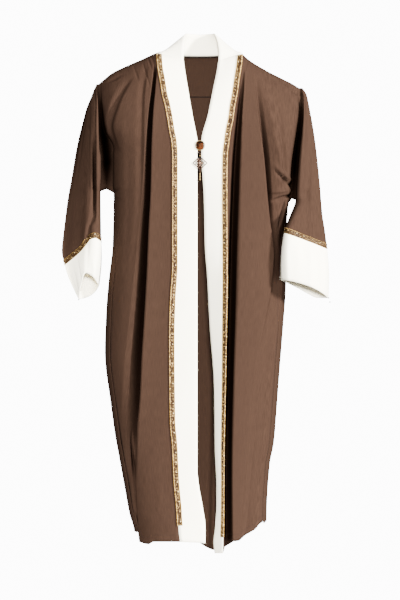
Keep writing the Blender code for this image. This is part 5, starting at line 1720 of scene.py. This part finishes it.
def resin():
    # Cast polyester resin, tortoise coloured: amber clouds in near-black brown under a soft gloss. More
    # amber is painted toward the bottom, a painted glow of light shining through the resin.
    finish, tree, shader = surface("tortoise_resin", Roughness=0.36, Specular_IOR_Level=0.06,
                                   Specular_Tint=hex_colour("#c98a5a"))
    spot = add(tree, "ShaderNodeTexCoord").outputs["Object"]
    cloud = add(tree, "ShaderNodeTexNoise", {"Vector": spot, "Scale": 150.0, "Detail": 3.0,
                                             "Distortion": 1.4}).outputs["Fac"]
    middle = (0.0, 0.0, middle_of("button").z)
    below = add(tree, "ShaderNodeMapping", {"Vector": spot, "Location": middle}, vector_type="TEXTURE")
    height = add(tree, "ShaderNodeSeparateXYZ", {"Vector": below.outputs["Vector"]}).outputs["Z"]
    # Painted glow: below the button's middle the resin is painted more amber, as light glowing through it.
    clouds_and_glow = add(tree, "ShaderNodeMath", {0: height, 1: -PAINTED_GLOW_LEAN, 2: cloud},
               operation="MULTIPLY_ADD").outputs["Value"]
    tone = add(tree, "ShaderNodeValToRGB", {"Fac": clouds_and_glow},
               stops=((0.44, "#040202"), (0.68, "#3a1c0d"))).outputs["Color"]
    return finished(finish, tree, shader, tone)


def crystal():
    # Cut glass stones, foil-backed, so they read as warm brown glints rather than see-through.
    return patterned("foiled_glass", {"Scale": 900.0}, ((0.1, "#7c5c44"), (0.8, "#20130c")),
                     "ShaderNodeTexVoronoi", "Distance", Roughness=0.3, Metallic=0.4, Coat_Weight=0.1,
                     Coat_Roughness=0.05, Specular_IOR_Level=0.2)


def dark_metal():
    # Gun-metal plate: nearly black, with a soft brown glint where the plate has rubbed.
    return patterned("gunmetal_plate", {"Scale": 500.0}, ((0.35, "#060403"), (0.7, "#170f0b")),
                     Metallic=0.2, Roughness=0.4, Specular_IOR_Level=0.1)


def thread(name, code):
    # Spun polyester sewing thread, slightly fuzzy, its two plies a little lighter and darker.
    base = hex_colour(code)
    return patterned(name, {"Scale": 1500.0}, ((0.3, shade(base, 0.8)), (0.7, shade(base, 1.15))),
                     Roughness=0.8, Specular_IOR_Level=0.1)


def studio_floor():
    # Matt emulsion on a studio floor: near white with the faintest mottling.
    return patterned("studio_floor", {"Scale": 3.0, "Detail": 2.0}, ((0.3, "#ededea"), (0.7, "#f4f4f2")),
                     Roughness=0.9)


THREADS = {"brown_thread": "#1d1410", "dark_thread": "#0f0a08", "cream_thread": "#e9e3d2"}
MAKERS = {maker.__name__: maker for maker in (satin, crepe, ribbon, gimp, sequin, spangle, plated, gilt,
                                              resin, crystal, dark_metal, studio_floor)}
FINISHES = {}


def looks_of(name):
    """The finish of this name, made the first time that it is asked for."""
    if name not in FINISHES:
        FINISHES[name] = thread(name, THREADS[name]) if name in THREADS else MAKERS[name]()
    return FINISHES[name]


# Settings, operators and panel

class AbayaLooks(PropertyGroup):
    """Sizes and colours that a user would change."""
    satin_colour: FloatVectorProperty(
        name="Satin colour", description="Dye of the body and sleeves", subtype="COLOR", size=3,
        min=0.0, max=1.0, default=hex_colour("#251a14")[:3])
    crepe_colour: FloatVectorProperty(
        name="Crepe colour", description="Dye of the bands and cuffs", subtype="COLOR", size=3,
        min=0.0, max=1.0, default=hex_colour("#fff6dd")[:3])
    satin_wall: FloatProperty(
        name="Satin thickness", description="Thickness of the body cloth", unit="LENGTH", default=0.0007)
    crepe_wall: FloatProperty(
        name="Crepe thickness", description="Thickness of a folded band or cuff", unit="LENGTH",
        default=0.0016)
    unevenness: FloatProperty(
        name="Unevenness", description="How far the cloth wanders from its smooth shape", unit="LENGTH",
        default=0.0009)
    bead_size: FloatProperty(
        name="Bead size", description="Width of a bead of the braid", unit="LENGTH", default=0.0022)
    cell_length: FloatProperty(
        name="Braid cell", description="Length of one zigzag of the braid", unit="LENGTH", default=0.0086)
    thread_radius: FloatProperty(
        name="Thread radius", description="Half the thickness of the sewing thread, drawn twice as coarse",
        unit="LENGTH", default=0.0003)


class ABAYA_OT_back(Operator):
    """Hang the back panel from the shoulder seams"""
    bl_idname = "abaya.back"
    bl_label = "Back"

    def execute(self, context):
        cut_and_hang("back", "satin")
        return {"FINISHED"}


class ABAYA_OT_fronts(Operator):
    """Hang the two front panels with their folds"""
    bl_idname = "abaya.fronts"
    bl_label = "Front panels"

    def execute(self, context):
        for name in SIDES:
            cut_and_hang("front_" + name, "satin")
        return {"FINISHED"}


class ABAYA_OT_sleeves(Operator):
    """Set the two sleeves into the armholes"""
    bl_idname = "abaya.sleeves"
    bl_label = "Sleeves"

    def execute(self, context):
        for name in SIDES:
            cut_and_hang("sleeve_" + name, "satin")
        return {"FINISHED"}


class ABAYA_OT_bands(Operator):
    """Sew the folded cream bands to the front edges and round the neck"""
    bl_idname = "abaya.bands"
    bl_label = "Front and neck bands"

    def execute(self, context):
        for name in SIDES:
            cut_and_hang("band_" + name, "crepe")
        cut_and_hang("band_neck", "crepe")
        return {"FINISHED"}


class ABAYA_OT_cuffs(Operator):
    """Sew the slanted cream cuffs to the sleeves"""
    bl_idname = "abaya.cuffs"
    bl_label = "Cuffs"

    def execute(self, context):
        for name in SIDES:
            cut_and_hang("cuff_" + name, "crepe")
        return {"FINISHED"}


class ABAYA_OT_braids(Operator):
    """Lay the sequin braid over the band and cuff seams"""
    bl_idname = "abaya.braids"
    bl_label = "Sequin braid"

    def execute(self, context):
        lay_out()
        for node in ("braid_right", "braid_left", "braid_neck", "cuff_braid_right", "cuff_braid_left"):
            braid_pieces(node)
        return {"FINISHED"}


class ABAYA_OT_stitching(Operator):
    """Sew the seams and hems with visible stitches"""
    bl_idname = "abaya.stitching"
    bl_label = "Stitching"

    def execute(self, context):
        def lined(name, line_of, *measures):
            """A line of this kind on the cloth of this name."""
            rows = lay_out()[name]
            return line_of(rows, outward(rows, core_for(name)), *measures)

        for name in SIDES:
            lines = [lined("front_" + name, side_line), lined("front_" + name, hem_line)]
            stitches(f"front_{name}_stitching", lines, SEAM_STITCH)
            stitches(f"band_{name}_topstitch", [lined("band_" + name, edge_line)], TOPSTITCH)
            stitches(f"cuff_{name}_topstitch", [lined("cuff_" + name, hem_line, CUFF_INSET)], TOPSTITCH)
        stitches("facing_serging", [lined("back", facing_line)], FACING_SERGING)
        stitches("back_stitching", [lined("back", hem_line)], SEAM_STITCH)
        stitches("neck_serging", [lined("band_neck", neck_line)], NECK_SERGING)
        return {"FINISHED"}


class ABAYA_OT_jewel(Operator):
    """Fit the button, its loop, the openwork pendant and its tail of beads"""
    bl_idname = "abaya.jewel"
    bl_label = "Button and pendant"

    def execute(self, context):
        make_button()
        make_pendant()
        make_tail()
        make_cuff_beads()
        return {"FINISHED"}


def light_it(tree):
    """An even white sweep: it looks pure white, and it lights the cloth more softly than that."""
    lit = tree.nodes["Background"]
    lit.inputs["Strength"].default_value = AIR_STRENGTH
    lit.inputs["Color"].default_value = (1.0, 1.0, 1.0, 1.0)
    seen = add(tree, "ShaderNodeBackground", {"Color": (1.0, 1.0, 1.0, 1.0), "Strength": SWEEP_STRENGTH})
    looked = add(tree, "ShaderNodeLightPath").outputs["Is Camera Ray"]
    both = add(tree, "ShaderNodeMixShader", {0: looked, 1: lit.outputs[0], 2: seen.outputs[0]})
    tree.links.new(both.outputs[0], tree.nodes["World Output"].inputs["Surface"])


def hang_lamp(name, kind, spot, goal, **settings):
    """A lamp of this kind at its spot, turned toward its goal."""
    data = bpy.data.lights.new(name, kind)
    for setting, value in settings.items():
        setattr(data, setting, value)
    lamp = bpy.data.objects.new(name, data)
    lamp.location = spot
    lamp.rotation_euler = (goal - Vector(spot)).to_track_quat("-Z", "Y").to_euler()
    bpy.context.scene.collection.objects.link(lamp)


class ABAYA_OT_stage(Operator):
    """Set the floor, the lights and the camera"""
    bl_idname = "abaya.stage"
    bl_label = "Stage"

    def execute(self, context):
        floor = bmesh.new()
        bmesh.ops.create_circle(floor, cap_ends=True, segments=FLOOR_SIDES, radius=FLOOR_RADIUS,
                                matrix=Matrix.Translation((0.0, 0.0, FLOOR_HEIGHT)))
        ground = object_from(floor, "stage_floor", "studio_floor", smooth=False)

        world = bpy.data.worlds.new("studio_air")
        context.scene.world = world
        world.use_nodes = True
        light_it(world.node_tree)
        for name, spot, size, energy in LAMPS:
            hang_lamp(name, "AREA", spot, LOOKED_AT, shape="DISK", size=size, energy=energy)
        spot, goal, size, cone, energy = NECK_LAMP
        hang_lamp("neck_lamp", "SPOT", spot, goal, shadow_soft_size=size, spot_size=cone,
                  spot_blend=CONE_BLEND, energy=energy)

        lens = bpy.data.cameras.new("camera")
        lens.sensor_width = SENSOR
        lens.lens = SENSOR * CAMERA_DISTANCE / FRAME_HEIGHT
        lens.clip_end = FARTHEST
        camera = bpy.data.objects.new("camera", lens)
        camera.location = (0.0, -CAMERA_DISTANCE, LOOKED_AT.z)
        camera.rotation_euler = (pi / 2, 0.0, 0.0)
        context.scene.collection.objects.link(camera)
        context.scene.camera = camera
        return {"FINISHED"}


STEPS = (ABAYA_OT_stage, ABAYA_OT_back, ABAYA_OT_fronts, ABAYA_OT_sleeves, ABAYA_OT_bands,
         ABAYA_OT_cuffs, ABAYA_OT_braids, ABAYA_OT_stitching, ABAYA_OT_jewel)


class ABAYA_PT_panel(Panel):
    """The abaya's steps and settings"""
    bl_label = "Abaya"
    bl_space_type = "VIEW_3D"
    bl_region_type = "UI"
    bl_category = "Abaya"

    def draw(self, context):
        column = self.layout.column()
        for name in AbayaLooks.__annotations__:
            column.prop(context.scene.abaya, name)
        for step in STEPS:
            column.operator(step.bl_idname)


CLASSES = (AbayaLooks,) + STEPS + (ABAYA_PT_panel,)


def register():
    """Register the settings, the operators and the panel."""
    for item in CLASSES:
        bpy.utils.register_class(item)
    bpy.types.Scene.abaya = PointerProperty(type=AbayaLooks)


def unregister():
    """Take them away again, the last one first."""
    del bpy.types.Scene.abaya
    for item in reversed(CLASSES):
        bpy.utils.unregister_class(item)


def main():
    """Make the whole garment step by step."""
    register()
    bpy.ops.abaya.stage()
    bpy.ops.abaya.back()
    bpy.ops.abaya.fronts()
    bpy.ops.abaya.sleeves()
    bpy.ops.abaya.bands()
    bpy.ops.abaya.cuffs()
    bpy.ops.abaya.braids()
    bpy.ops.abaya.stitching()
    bpy.ops.abaya.jewel()


if __name__ == "__main__":
    main()
